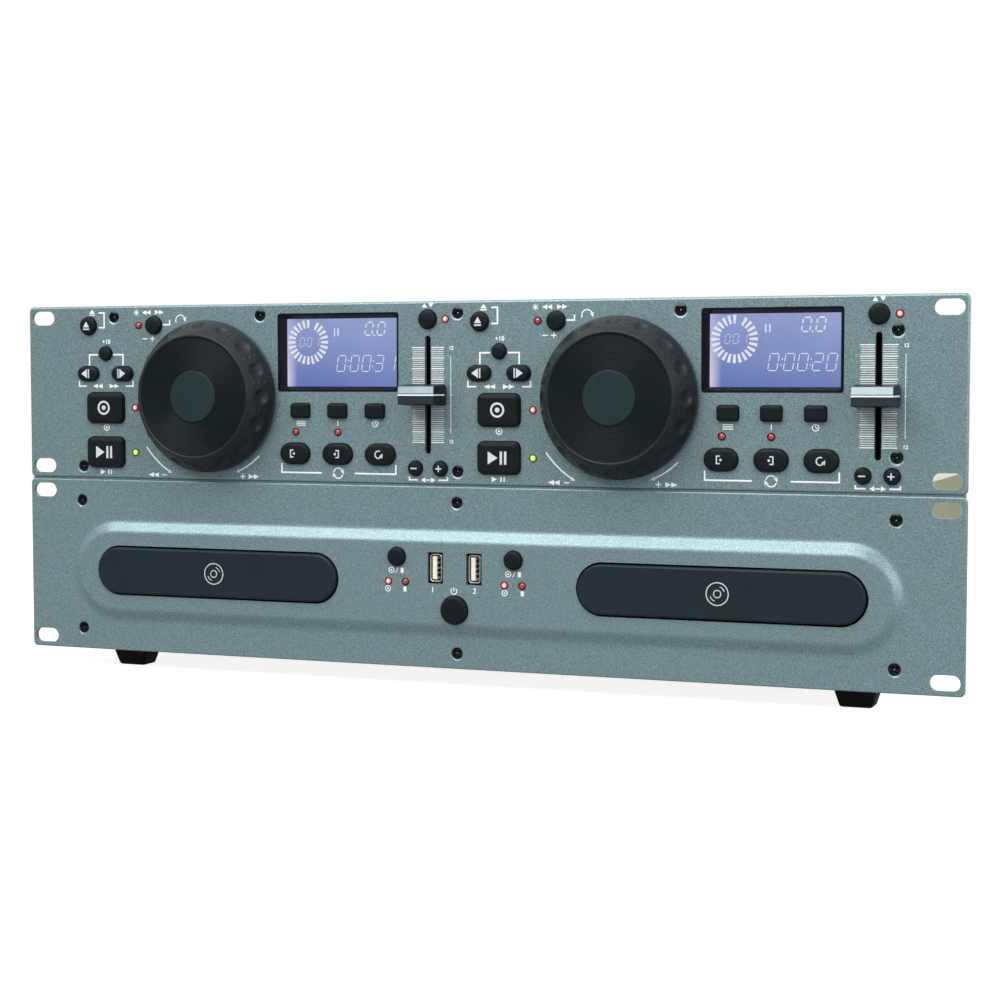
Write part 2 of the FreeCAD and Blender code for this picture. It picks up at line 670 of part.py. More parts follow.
def fader(deck_x):
    """Cap with a finger groove, on a blade that runs in the slot and ends in a shoe."""
    x, z = on_deck(deck_x, FADER_ACROSS, FADER_UP)
    shoe = fader_levels()[2]
    base, face = FRONT - FADER_LIFT, FRONT - FADER_PROUD
    shoulder = (base + face) / 2
    wide = Part.makeLoft([outline(x, z, FADER_BASE_W, FADER_BASE_H, 1.0, base),
                          outline(x, z, FADER_FACE_W, FADER_FACE_H, 1.0, shoulder)], True, True)
    cap = wide.fuse(slab(x, z, FADER_FACE_W, FADER_FACE_H, 1.0, face, shoulder))
    groove = Part.makeCylinder(FADER_GROOVE_R, FADER_FACE_W, V(x - FADER_FACE_W / 2, face, z), V(1, 0, 0))
    blade_w = FADER_SLOT_W / 2 - RUNNING_GAP
    blade = block(x - blade_w, x + blade_w, base, shoe, z - FADER_BLADE_H / 2, z + FADER_BLADE_H / 2)
    foot = block(x - FADER_SHOE_W / 2, x + FADER_SHOE_W / 2, shoe, shoe + FADER_SHOE_T,
                 z - FADER_BLADE_H / 2, z + FADER_BLADE_H / 2)
    return cap.cut(groove).fuse([blade, foot])


# ---- Drive unit --------------------------------------------------------------------------------
def field_loft(front_y, back_y, shrink):
    """The raised field's form between two planes, pulled in all round by shrink."""
    mid = DRIVE_MID - FIELD_DROP
    wires = []
    for y, inset in ((back_y, shrink), (front_y, shrink + FIELD_BEVEL)):
        h = FIELD_H - 2 * inset
        wires.append(outline(0, mid, BODY_W - 2 * inset, h, h / 2, y))
    return Part.makeLoft(wires, True, True)


def usb_places():
    return [(side * USB_X, DRIVE_MID + USB_DZ) for side in (-1, 1)]


def drive_panel():
    """Pressed panel: the raised field stands forward and is hollow behind."""
    plate = slab(0, DRIVE_MID, PANEL_W, PANEL_H, PANEL_CORNER_R, FRONT, BACK)
    plate = plate.fuse(field_loft(FIELD_FACE, FRONT, 0)).removeSplitter()
    plate = eased(eased(plate, FIELD_FACE, FIELD_EASE_R), FRONT, FIELD_EASE_R, BODY_W / 2 + 1e-3)
    plate = plate.cut(field_loft(FIELD_BACK, BACK, FIELD_WALL))
    cuts = rack_slots(DRIVE_MID)
    for x in TRAYS.values():
        cuts.append(slab(x, TRAY_MID, TRAY_HOLE_W, TRAY_HOLE_H, TRAY_HOLE_H / 2, FIELD_FACE, BACK))
    for x, z in usb_places():
        cuts.append(slab(x, z, USB_HOLE_W, USB_HOLE_H, USB_HOLE_R, FIELD_FACE, BACK))
    for side in (-1, 1):
        cuts.append(rod(side * SOURCE_X, DRIVE_MID + SOURCE_DZ, ROUND_KEY_D / 2 + KEY_GAP, FIELD_FACE, BACK))
    cuts.append(rod(0, DRIVE_MID + POWER_DZ, POWER_D / 2 + KEY_GAP, FIELD_FACE, BACK))
    for x, z, face in lamp_places():
        if face == FIELD_FACE:
            cuts.append(rod(x, z, LAMP_R + LAMP_GAP, FIELD_FACE, BACK))
    cuts += [screw_body(place, V(0, 1, 0), SCREW_GAP) for place in drive_screw_places()]
    return plate.cut(cuts)


def jack_places():
    middle = (JACK_COLUMNS - 1) / 2
    return [(JACK_X + (column - middle) * JACK_PITCH_X, UNDERSIDE + JACK_RAISE + row * JACK_PITCH_Z / 2)
            for column in range(JACK_COLUMNS) for row in (-1, 1)]


def drive_chassis():
    """Floor, rear wall and low sides, and a front frame that is wider, for the corner screws."""
    half = DRIVE_HALF - SHEET_T
    inner = half - SHEET_T
    flange = BODY_W / 2 - SHEET_T
    top = SEAM - SHEET_T
    shell = block(-half, half, BACK, REAR, UNDERSIDE, top)
    shell = shell.cut(block(-inner, inner, BACK + SHEET_T, REAR - SHEET_T, FLOOR, top))
    shell = shell.fuse(block(-flange, flange, BACK, BACK + SHEET_T, UNDERSIDE, top)).removeSplitter()
    window = TRAY_X + TRAY_W / 2 + TRAY_RAIL + FRAME_GAP
    cuts = [block(-half, half, BACK + SHEET_T, REAR - SHEET_T, UNDERSIDE + CHASSIS_FLANGE, top),
            block(-window, window, BACK, BACK + SHEET_T, UNDERSIDE + FRAME_BOTTOM, SEAM - FRAME_TOP)]
    cuts += [rod(x, z, JACK_R + SCREW_GAP, REAR - SHEET_T, REAR) for x, z in jack_places()]
    cuts.append(rod(LINK_X, UNDERSIDE + JACK_RAISE, LINK_R + SCREW_GAP, REAR - SHEET_T, REAR))
    cuts.append(slab(INLET_X, UNDERSIDE + INLET_RAISE, INLET_W + 2 * SCREW_GAP, INLET_H + 2 * SCREW_GAP,
                     INLET_R, REAR - SHEET_T, REAR))
    cuts += [screw_body(place, V(0, 1, 0), SCREW_GAP) for place in drive_screw_places()]
    cuts += [screw_body(place, axis, SCREW_GAP) for place, axis in side_screw_places()]
    return shell.cut(cuts)


def drive_cover():
    """Top and both sides in one folded sheet behind the chassis front, with slots for the air."""
    half = DRIVE_HALF
    shell = block(-half, half, BACK, REAR, UNDERSIDE, SEAM)
    inner = half - SHEET_T
    cuts = [block(-inner, inner, BACK, REAR, UNDERSIDE, SEAM - SHEET_T),
            block(-half, half, BACK, BACK + SHEET_T, UNDERSIDE, SEAM - SHEET_T)]
    span = (VENT_COUNT - 1) * VENT_PITCH
    for number in range(VENT_COUNT):
        y = REAR - VENT_PITCH * 3 - span + number * VENT_PITCH
        middle = (UNDERSIDE + CHASSIS_FLANGE + SEAM) / 2
        cuts.append(block(-half, half, y, y + VENT_W, middle - VENT_L / 2, middle + VENT_L / 2))
        for x in TRAYS.values():
            cuts.append(block(x - VENT_L, x + VENT_L, y, y + VENT_W, SEAM - SHEET_T, SEAM))
    cuts += [screw_body(place, axis, SCREW_GAP) for place, axis in side_screw_places()]
    return shell.cut(cuts)


def loader_frame(x):
    """Tub that carries one tray: grooved side walls, clamp bar over the disc, legs, motor."""
    lane = TRAY_W / 2 + RUNNING_GAP
    outer = lane + LOADER_WALL
    y0, y1 = FRONT + LOADER_GAP, FRONT + LOADER_GAP + LOADER_L
    top = TRAY_TOP + LOADER_TOP_GAP
    deck = LOADER_BASE + LOADER_WALL
    tub = block(x - outer, x + outer, y0, y1, LOADER_BASE, top)
    groove = lane + TRAY_RAIL
    half_groove = TRAY_RAIL_H / 2 + RUNNING_GAP
    tub = tub.cut([block(x - lane, x + lane, y0, y1, deck, top),
                   block(x - groove, x + groove, y0, y1 - LOADER_WALL, TRAY_MID - half_groove,
                         TRAY_MID + half_groove)])
    parts = [block(x - outer, x + outer, DISC_Y - CLAMP_BAR / 2, DISC_Y + CLAMP_BAR / 2, top, top + CLAMP_T),
             post(x, DISC_Y, CLAMP_R, top - CLAMP_T, top),
             post(x, DISC_Y, MOTOR_R, deck, deck + MOTOR_H)]
    for sx in (-1, 1):
        for y in (y0 + 2 * LOADER_LEG_R, y1 - 2 * LOADER_LEG_R):
            parts.append(post(x + sx * (lane - LOADER_LEG_R), y, LOADER_LEG_R, FLOOR, LOADER_BASE))
    bore = post(x, DISC_Y, SPINDLE_R + SHAFT_GAP, deck + MOTOR_H - SPINDLE_DEPTH - SHAFT_GAP, deck + MOTOR_H)
    return tub.fuse(parts).cut(bore)


def spindle(x):
    """Turntable hub on its shaft, standing in the motor below the closed tray."""
    seat = LOADER_BASE + LOADER_WALL + MOTOR_H
    plate = seat + RUNNING_GAP
    shaft = post(x, DISC_Y, SPINDLE_R, seat - SPINDLE_DEPTH, plate)
    hub = post(x, DISC_Y, HUB_R, plate, plate + HUB_T)
    nose = Part.makeCone(NOSE_R, NOSE_R - NOSE_TAPER, NOSE_H, V(x, DISC_Y, plate + HUB_T))
    return shaft.fuse([hub, nose])


def tray(x):
    """Disc tray: stadium front plate, side rails, disc recesses and the spindle slot."""
    face = FIELD_FACE - TRAY_FRONT_PROUD
    back = face + TRAY_FRONT_T
    w, h = TRAY_HOLE_W - 2 * TRAY_FRONT_GAP, TRAY_HOLE_H - 2 * TRAY_FRONT_GAP
    front = eased(slab(x, TRAY_MID, w, h, h / 2, face, back), face, TRAY_EDGE_R)
    low = TRAY_MID - TRAY_T / 2
    end = back + TRAY_L
    plate = block(x - TRAY_W / 2, x + TRAY_W / 2, back, end, low, TRAY_TOP)
    rail_w = TRAY_W / 2 + TRAY_RAIL
    rails = block(x - rail_w, x + rail_w, back, end, TRAY_MID - TRAY_RAIL_H / 2, TRAY_MID + TRAY_RAIL_H / 2)
    slot = SPINDLE_SLOT_W / 2
    cuts = [post(x, DISC_Y, DISC_R + DISC_GAP, TRAY_TOP - DISC_RECESS, TRAY_TOP),
            post(x, DISC_Y, SMALL_DISC_R + DISC_GAP, TRAY_TOP - SMALL_DISC_RECESS, TRAY_TOP),
            post(x, DISC_Y, slot, low, TRAY_TOP),
            block(x - slot, x + slot, DISC_Y, DISC_Y + SMALL_DISC_R, low, TRAY_TOP)]
    return plate.fuse(rails).cut(cuts).fuse(front)


def usb_socket(x, z):
    """Upright socket: folded shell with a closed back, and the contact tongue inside."""
    w, h = USB_MOUTH_W + 2 * USB_WALL, USB_MOUTH_H + 2 * USB_WALL
    front, back = FIELD_FACE + USB_SINK, FIELD_FACE + USB_DEPTH
    shell = block(x - w / 2, x + w / 2, front, back, z - h / 2, z + h / 2)
    shell = shell.cut(block(x - USB_MOUTH_W / 2, x + USB_MOUTH_W / 2, front, back - USB_WALL,
                            z - USB_MOUTH_H / 2, z + USB_MOUTH_H / 2))
    tx = x - USB_TONGUE_SHIFT
    tongue = block(tx - USB_TONGUE_T / 2, tx + USB_TONGUE_T / 2, back - USB_WALL - USB_TONGUE_L,
                   back - USB_WALL, z - USB_TONGUE_H / 2, z + USB_TONGUE_H / 2)
    return shell.fuse(tongue)


def main_board():
    """Rear board with the output jacks and link socket, and the upright board in front."""
    low = FLOOR + MAIN_BOARD_RAISE
    y1 = REAR - SHEET_T
    y0 = y1 - MAIN_BOARD_L
    block_w = JACK_COLUMNS * JACK_PITCH_X
    x0 = LINK_X - LINK_BLOCK / 2 - MAIN_BOARD_MARGIN
    x1 = JACK_X + block_w / 2 + MAIN_BOARD_MARGIN
    rear = block(x0, x1, y0, y1, low, low + BOARD_T)
    parts = []
    for x in (x0 + 2 * STANDOFF_R, x1 - 2 * STANDOFF_R):
        for y in (y0 + 2 * STANDOFF_R, y1 - 2 * STANDOFF_R):
            parts.append(post(x, y, STANDOFF_R, FLOOR, low))
    middle = UNDERSIDE + JACK_RAISE
    parts.append(block(JACK_X - block_w / 2, JACK_X + block_w / 2, y1 - JACK_BLOCK_T, y1, low,
                       middle + JACK_PITCH_Z))
    parts.append(block(LINK_X - LINK_BLOCK / 2, LINK_X + LINK_BLOCK / 2, y1 - LINK_BLOCK, y1, low, middle))
    parts += [rod(x, z, JACK_R, y1, REAR + JACK_PROUD) for x, z in jack_places()]
    parts.append(link_socket(LINK_X, middle, y1 - LINK_BLOCK, REAR))
    bores = [rod(x, z, JACK_BORE_R, REAR + JACK_PROUD - JACK_BORE_DEPTH, REAR + JACK_PROUD)
             for x, z in jack_places()]
    return [rear.fuse(parts).cut(bores), front_board()]


def front_board():
    """Upright board behind the middle of the raised field, with its three key switches."""
    face = FIELD_FACE + USB_DEPTH
    half = FRONT_BOARD_W / 2
    top = DRIVE_MID + SOURCE_DZ + SWITCH_SIDE
    board = block(-half, half, face, face + BOARD_T, FLOOR, top)
    places = [(side * SOURCE_X, DRIVE_MID + SOURCE_DZ) for side in (-1, 1)] + [(0, DRIVE_MID + POWER_DZ)]
    side = SWITCH_SIDE / 2
    switches = []
    for x, z in places:
        switches.append(block(x - side, x + side, face - SWITCH_H, face, z - side, z + side))
        switches.append(rod(x, z, PLUNGER_R, face - SWITCH_H - PLUNGER_H, face - SWITCH_H))
    return board.fuse(switches)


def mains_inlet():
    """Three-blade appliance inlet with its lip outside the rear wall."""
    z = UNDERSIDE + INLET_RAISE
    inner = REAR + INLET_LIP_T - INLET_DEPTH
    body = slab(INLET_X, z, INLET_W, INLET_H, INLET_R, inner - INLET_WALL, REAR)
    lip = slab(INLET_X, z, INLET_W + 2 * INLET_LIP, INLET_H + 2 * INLET_LIP, INLET_LIP_R, REAR,
               REAR + INLET_LIP_T)
    cavity = slab(INLET_X, z, INLET_W - 2 * INLET_WALL, INLET_H - 2 * INLET_WALL, INLET_R, inner,
                  REAR + INLET_LIP_T)
    blades = []
    for column, raise_z in ((-1, -BLADE_RAISE), (0, BLADE_RAISE), (1, -BLADE_RAISE)):
        bx, bz = INLET_X + column * BLADE_PITCH, z + raise_z
        blades.append(block(bx - BLADE_W / 2, bx + BLADE_W / 2, inner, inner + BLADE_L, bz - BLADE_H / 2,
                            bz + BLADE_H / 2))
    return body.fuse(lip).cut(cavity).fuse(blades)


def foot(x, y):
    """Tapered rubber foot, small end down."""
    wires = []
    for z, w, l in ((0, FOOT_TIP_W, FOOT_TIP_L), (UNDERSIDE, FOOT_TOP_W, FOOT_TOP_L)):
        wire = outline(0, 0, w, l, FOOT_CORNER_R, 0)
        wire.Placement = FreeCAD.Placement(V(x, y, z), FreeCAD.Rotation(V(1, 0, 0), 90))
        wires.append(wire)
    return Part.makeLoft(wires, True, True)


# ---- Write every sub-part -----------------------------------------------------------------------
os.makedirs("parts", exist_ok=True)

save("control_panel", control_panel())
save("control_case", control_case())
save("control_board", control_board())
save("display_modules", *[display_module(x) for x in DECKS.values()])
save("display_windows", *[display_window(x) for x in DECKS.values()])
save("fader_tracks", *[fader_track(x) for x in DECKS.values()])
save("jog_posts", *[jog_post(x) for x in DECKS.values()])
save("lamps", *[lamp(*place) for place in lamp_places()])

PLUNGER_FACE = SWITCH_FACE - PLUNGER_H
for name, x, z, form in key_places():
    save(name, key(x, z, form, FRONT, BACK, KEY_TRAVEL, PLUNGER_FACE))
for side, deck_x in DECKS.items():
    save(side + "_jog_wheel", jog_wheel(deck_x))
    save(side + "_pitch_fader", fader(deck_x))

save("drive_panel", drive_panel())
save("drive_chassis", drive_chassis())
save("drive_cover", drive_cover())
save("loader_frames", *[loader_frame(x) for x in TRAYS.values()])
save("usb_sockets", *[usb_socket(x, z) for x, z in usb_places()])
save("main_board", *main_board())
save("mains_inlet", mains_inlet())
FRONT_PLUNGER = FIELD_FACE + USB_DEPTH - SWITCH_H - PLUNGER_H
for side, x in TRAYS.items():
    save(side + "_tray", tray(x))
    save(side + "_spindle", spindle(x))
    sign = 1 if x > 0 else -1
    save(side + "_source", key(sign * SOURCE_X, DRIVE_MID + SOURCE_DZ, KEY_FORMS["round"], FIELD_FACE,
                               FIELD_BACK, KEY_TRAVEL, FRONT_PLUNGER))
save("power_button", key(0, DRIVE_MID + POWER_DZ, (POWER_D, POWER_D, POWER_D / 2), FIELD_FACE, FIELD_BACK,
                         POWER_TRAVEL, FRONT_PLUNGER, ears_level=True))

save("feet", *[foot(sx * FOOT_X, y) for sx in (-1, 1) for y in (FRONT + FOOT_BACK, REAR - FOOT_BACK)])
FRONT_SCREWS = [(place, V(0, 1, 0)) for place in control_screw_places() + drive_screw_places()]
save("screws", *[screw(place, axis) for place, axis in FRONT_SCREWS + side_screw_places()])
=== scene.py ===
import json
import math

import bmesh
import bpy
from mathutils import Matrix, Vector


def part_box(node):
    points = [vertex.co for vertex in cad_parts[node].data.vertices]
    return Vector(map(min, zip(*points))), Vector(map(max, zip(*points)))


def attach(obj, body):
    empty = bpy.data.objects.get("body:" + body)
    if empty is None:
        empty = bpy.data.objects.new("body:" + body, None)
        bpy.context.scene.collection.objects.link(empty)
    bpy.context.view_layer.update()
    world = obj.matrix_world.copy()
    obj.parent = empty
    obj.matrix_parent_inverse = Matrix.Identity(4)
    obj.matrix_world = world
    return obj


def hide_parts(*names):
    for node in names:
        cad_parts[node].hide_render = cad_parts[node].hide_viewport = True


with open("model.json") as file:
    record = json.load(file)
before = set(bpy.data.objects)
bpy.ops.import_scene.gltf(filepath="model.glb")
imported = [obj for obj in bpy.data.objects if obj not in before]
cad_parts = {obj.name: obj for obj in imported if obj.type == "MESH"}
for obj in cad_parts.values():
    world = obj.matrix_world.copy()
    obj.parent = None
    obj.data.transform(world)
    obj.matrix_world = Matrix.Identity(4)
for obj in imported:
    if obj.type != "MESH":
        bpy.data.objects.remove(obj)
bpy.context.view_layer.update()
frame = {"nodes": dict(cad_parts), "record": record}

bl_info = {
    "name": "Dual disc player",
    "version": (1, 0, 0),
    "blender": (4, 5, 0),
    "location": "3D View > Sidebar > Disc player",
    "description": "Dresses the dual disc player: panels, keys, jog wheels, displays and sockets",
    "category": "Object",
}

MM = 0.001
MERGE_WITHIN = 1e-6
TINY = 1e-7
FLAT_WITHIN = math.radians(0.5)
# A drawing has x to the right, y up and z towards whoever faces it.
FRONTWARD = Matrix.Rotation(math.radians(90), 4, "X")
SIDES = {"left": -1, "right": 1}
BODY_OF = {node: body for body, nodes in frame["record"]["behaviour"]["bodies"].items() for node in nodes}


def middle(node):
    """The middle of a CAD node's box."""
    low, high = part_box(node)
    return (low + high) / 2


# ---- Places read from the frame ----------------------------------------------
PANEL_LOW, PANEL_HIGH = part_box("control_panel")
FRONT = PANEL_LOW.y
BACK = PANEL_HIGH.y
CONTROL_MID = middle("control_panel").z
DRIVE_MID = middle("drive_panel").z
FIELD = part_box("drive_panel")[0].y
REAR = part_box("drive_chassis")[1].y
HALF_PITCH = (middle("right_cue").x - middle("left_cue").x) / 2


def tone(red, green, blue):
    """A colour as a screen shows it, 0 to 255, as the light level that a material holds."""
    levels = []
    for level in (red, green, blue):
        share = level / 255
        levels.append(share / 12.92 if share <= 0.04045 else ((share + 0.055) / 1.055) ** 2.4)
    return (*levels, 1.0)


def colour(name, about, default):
    return bpy.props.FloatVectorProperty(name=name, description=about, default=default, size=4,
                                         subtype="COLOR", min=0.0, max=1.0)


def length(name, about, default):
    return bpy.props.FloatProperty(name=name, description=about, default=default, unit="LENGTH",
                                   subtype="DISTANCE", min=0.0, precision=5)


def turned(name, about, degrees):
    return bpy.props.FloatProperty(name=name, description=about, default=math.radians(degrees),
                                   subtype="ANGLE")


def watts(name, place, default):
    return bpy.props.FloatProperty(name=name, description=f"Power of the {place}, in watts",
                                   default=default, unit="POWER", min=0.0)


# ---- Settings ----------------------------------------------------------------
class DISC_PG_colours(bpy.types.PropertyGroup):
    """Colours of the finishes"""
    panel_paint: colour("Panel paint", "Speckled metallic paint of both front panels", tone(122, 146, 150))
    # The upper box's paler zinc is also laid on the top of the lower box's cover, beside that cover's darker
    # sides: painted light on its top.
    case_steel: colour("Case steel", "Zinc-plated sheet of the upper box", tone(202, 202, 190))
    chassis_steel: colour("Chassis steel", "Zinc-plated sheet of the lower box", tone(152, 154, 124))
    key_rubber: colour("Key rubber", "Rubber of the keys", tone(18, 26, 28))
    jog_flank: colour("Jog flank", "Soft grip round each jog wheel", tone(26, 32, 34))
    jog_disc: colour("Jog disc", "Grooved disc of each jog wheel", tone(14, 24, 26))
    jog_cap: colour("Jog cap", "Smooth cap in the middle of each jog wheel", tone(35, 50, 53))
    tray_plastic: colour("Tray plastic", "Fronts of the two disc trays", tone(33, 44, 48))
    print_ink: colour("Print ink", "Printing on the panels", tone(250, 253, 254))
    key_ink: colour("Key ink", "Symbols on the keys", tone(214, 220, 221))
    display_low: colour("Display, low", "Glow in the display's lower left", tone(98, 118, 188))
    display_high: colour("Display, high", "Glow in the display's upper right", tone(160, 172, 218))
    lamp_red: colour("Red lamp", "Lens of a red lamp", tone(196, 24, 30))
    lamp_green: colour("Green lamp", "Lens of a green lamp", tone(150, 190, 20))
    chrome: colour("Chrome", "Plated half of the fader caps", tone(158, 172, 176))


class DISC_PG_sizes(bpy.types.PropertyGroup):
    """Sizes of the details"""
    sheet_bevel: length("Sheet edges", "Rounding of the sheet metal's edges", 0.45 * MM)
    print_thickness: length("Print thickness", "How far the printing stands on its panel", 0.04 * MM)
    key_edge: length("Key edges", "Rounding of the keys' edges", 1.5 * MM)
    key_crown: length("Key crown", "Rise of a key's face from its edge to its middle", 0.25 * MM)
    groove_pitch: length("Groove pitch", "Distance between the grooves of the jog disc", 0.8 * MM)
    groove_depth: length("Groove depth", "Depth of the grooves of the jog disc", 0.22 * MM)
    dimple_depth: length("Dimple depth", "Depth of the finger dimples on the jog wheel's flank", 1.3 * MM)
    nub_height: length("Nub height", "Height of the small nubs between the dimples", 0.35 * MM)


class DISC_PG_stage(bpy.types.PropertyGroup):
    """Camera and light"""
    camera_place: bpy.props.FloatVectorProperty(
        name="Camera place", description="Where the camera stands", default=(0.3714, -1.0035, 0.1488),
        subtype="XYZ", unit="LENGTH", precision=4)
    camera_azimuth: turned("Camera azimuth", "Camera's turn to the object's right", 21.44)
    camera_elevation: turned("Camera elevation", "Camera's look down", 3.42)
    camera_lens: bpy.props.FloatProperty(
        name="Camera lens", description="Focal length on a 36 mm sensor, in millimetres", default=72.4,
        unit="CAMERA", min=10.0)
    overhead_power: watts("Overhead light", "softbox above the front", 6.0)
    strip_power: watts("Strip light", "long softbox in front", 19.0)
    side_power: watts("Side light", "tall softbox on the right", 7.5)
    rim_power: watts("Rim light", "softbox behind the right end", 4.5)
    room_light: bpy.props.FloatProperty(
        name="Room light", description="Strength of the light from all round", default=0.26, min=0.0)


# ---- Materials ---------------------------------------------------------------
class Wire:
    """One socket of a material, so that its sums read as plain Python."""

    def __init__(self, finish, socket):
        self.finish = finish
        self.socket = socket

    def sum(self, operation, first, second):
        return self.finish.node("ShaderNodeMath", {"operation": operation}, {0: first, 1: second})

    def __add__(self, other):
        return self.sum("ADD", self, other)

    def __radd__(self, other):
        return self.sum("ADD", other, self)

    def __sub__(self, other):
        return self.sum("SUBTRACT", self, other)

    def __rsub__(self, other):
        return self.sum("SUBTRACT", other, self)

    def __mul__(self, other):
        return self.sum("MULTIPLY", self, other)

    def __rmul__(self, other):
        return self.sum("MULTIPLY", other, self)


class Finish:
    """The nodes of a material, or of the world round the object."""

    def __init__(self, name, library=None, output="ShaderNodeOutputMaterial"):
        self.material = (bpy.data.materials if library is None else library).new(name)
        self.material.use_nodes = True
        self.tree = self.material.node_tree
        self.tree.nodes.clear()
        self.output = self.tree.nodes.new(output)
        self.place = self.node("ShaderNodeTexCoord", output="Object")

    def node(self, kind, settings=None, inputs=None, output=0):
        made = self.tree.nodes.new(kind)
        for name, value in (settings or {}).items():
            if name == "stops":
                self.set_stops(made.color_ramp, value)
            else:
                setattr(made, name, value)
        for key, value in (inputs or {}).items():
            if isinstance(value, Wire):
                self.tree.links.new(value.socket, made.inputs[key])
            else:
                made.inputs[key].default_value = value
        return Wire(self, made.outputs[output])

    def set_stops(self, ramp, stops):
        while len(ramp.elements) < len(stops):
            ramp.elements.new(1.0)
        for element, (position, shade) in zip(ramp.elements, stops):
            element.position = position
            element.color = shade

    def grain(self, size, detail=1.0):
        """Soft noise with features about size metres across, 0 to 1 round a half."""
        return self.node("ShaderNodeTexNoise", inputs={"Vector": self.place, "Scale": 1 / size,
                                                       "Detail": detail, "Roughness": 0.6})

    def flakes(self, size):
        """A random level for each flake, size metres across."""
        shade = self.node("ShaderNodeTexVoronoi", inputs={"Vector": self.place, "Scale": 1 / size},
                          output="Color")
        return self.node("ShaderNodeSeparateColor", inputs={0: shade})

    def held(self, wire):
        """The value, kept between 0 and 1."""
        return self.node("ShaderNodeClamp", inputs={0: wire})

    def contrast(self, wire, gain):
        return self.held((wire - 0.5) * gain + 0.5)

    def blend(self, factor, first, second):
        return self.node("ShaderNodeMix", {"data_type": "RGBA"}, {0: factor, 6: first, 7: second}, 2)

    def bump(self, height, distance, strength=1.0):
        return self.node("ShaderNodeBump", inputs={"Height": height, "Distance": distance,
                                                   "Strength": strength})

    def seen(self, mirrored=1.0):
        """1 for what is seen straight or through glass, mirrored for what a reflection shows, else 0."""
        camera, glossy, glass = [self.node("ShaderNodeLightPath", output=f"Is {kind} Ray")
                                 for kind in ("Camera", "Glossy", "Transmission")]
        return self.held(camera + glossy * mirrored + glass)

    def mixed(self, factor, first, second):
        """Two shaders, the second one where factor is 1."""
        return self.node("ShaderNodeMixShader", inputs={0: factor, 1: first, 2: second})

    def finished(self, shader):
        self.tree.links.new(shader.socket, self.output.inputs["Surface"])
        return self.material

    def surface(self, **sockets):
        """Principled surface; a socket's name has its spaces as underscores."""
        inputs = {name.replace("_", " "): value for name, value in sockets.items()}
        return self.finished(self.node("ShaderNodeBsdfPrincipled", inputs=inputs))


# Size of each finish's grain, and how deep its relief looks.
PAINT_FLAKE = 0.22 * MM
PAINT_RELIEF = 0.05 * MM
ZINC_CRYSTAL = 8 * MM
ZINC_CLOUD = 60 * MM
ZINC_SATIN = 0.8 * MM
ZINC_RELIEF = 0.02 * MM
MOULD_CLOUD = 14 * MM
METAL_RELIEF = 0.01 * MM
INK_WEAR = 0.5 * MM
TRACK_RELIEF = 0.05 * MM
WINDOW_HAZE = 9 * MM
GLOW_CLOUD = 22 * MM
SEGMENT_GRAIN = 1.6 * MM


def scaled(shade, factor):
    """A shade made lighter or darker."""
    return (*(min(1.0, level * factor) for level in shade[:3]), 1.0)


def speckled_paint(name, shade, spread=0.6):
    """Metallic paint with fine light and dark flakes."""
    finish = Finish(name)
    fine = finish.contrast(finish.grain(PAINT_FLAKE), 3.0)
    flake = finish.flakes(PAINT_FLAKE)
    level = finish.held(fine * 0.5 + flake * 0.5)
    base = finish.blend(level, scaled(shade, 1 - spread), scaled(shade, 1 + spread))
    rough = 0.22 + level * 0.1
    return finish.surface(Base_Color=base, Roughness=rough, Metallic=0.38, Specular_IOR_Level=0.5,
                          Normal=finish.bump(level, PAINT_RELIEF, 0.6))


def zinc_sheet(name, shade):
    """Zinc-plated sheet steel: soft crystal patches under a fine satin grain."""
    finish = Finish(name)
    patches = finish.flakes(ZINC_CRYSTAL)
    cloud = finish.contrast(finish.grain(ZINC_CLOUD, 2.0), 1.6)
    satin = finish.grain(ZINC_SATIN, 2.0)
    level = finish.held(patches * 0.35 + cloud * 0.35 + satin * 0.3)
    base = finish.blend(level, scaled(shade, 0.8), scaled(shade, 1.18))
    return finish.surface(Base_Color=base, Metallic=0.45, Roughness=0.36 + level * 0.16,
                          Normal=finish.bump(satin, ZINC_RELIEF, 0.4))


def moulded(name, shade, rough=0.45, size=0.5 * MM, depth=0.02 * MM, specular=0.13):
    """Moulded plastic or rubber: a fine mould texture, slightly uneven in colour and gloss."""
    finish = Finish(name)
    tooth = finish.grain(size, 2.0)
    cloud = finish.contrast(finish.grain(MOULD_CLOUD, 2.0), 1.8)
    base = finish.blend(cloud, scaled(shade, 0.9), scaled(shade, 1.1))
    return finish.surface(Base_Color=base, Roughness=rough - 0.05 + cloud * 0.06 + tooth * 0.06,
                          Specular_IOR_Level=specular, Normal=finish.bump(tooth, depth, 0.6))


def metal(name, shade, rough=0.25, size=0.4 * MM):
    """Bare or plated metal with faint marks about size metres across."""
    finish = Finish(name)
    marks = finish.node("ShaderNodeTexNoise",
                        inputs={"Vector": finish.place, "Scale": 1 / size, "Detail": 2.0})
    base = finish.blend(marks, scaled(shade, 0.86), scaled(shade, 1.1))
    return finish.surface(Base_Color=base, Metallic=1.0, Roughness=rough - 0.06 + marks * 0.12,
                          Normal=finish.bump(marks, METAL_RELIEF, 0.4))


def ink(name, shade):
    """Screen-printed ink, a little thin in places."""
    finish = Finish(name)
    wear = finish.contrast(finish.grain(INK_WEAR), 2.0)
    base = finish.blend(wear, scaled(shade, 0.93), shade)
    return finish.surface(Base_Color=base, Roughness=0.5 + wear * 0.1)


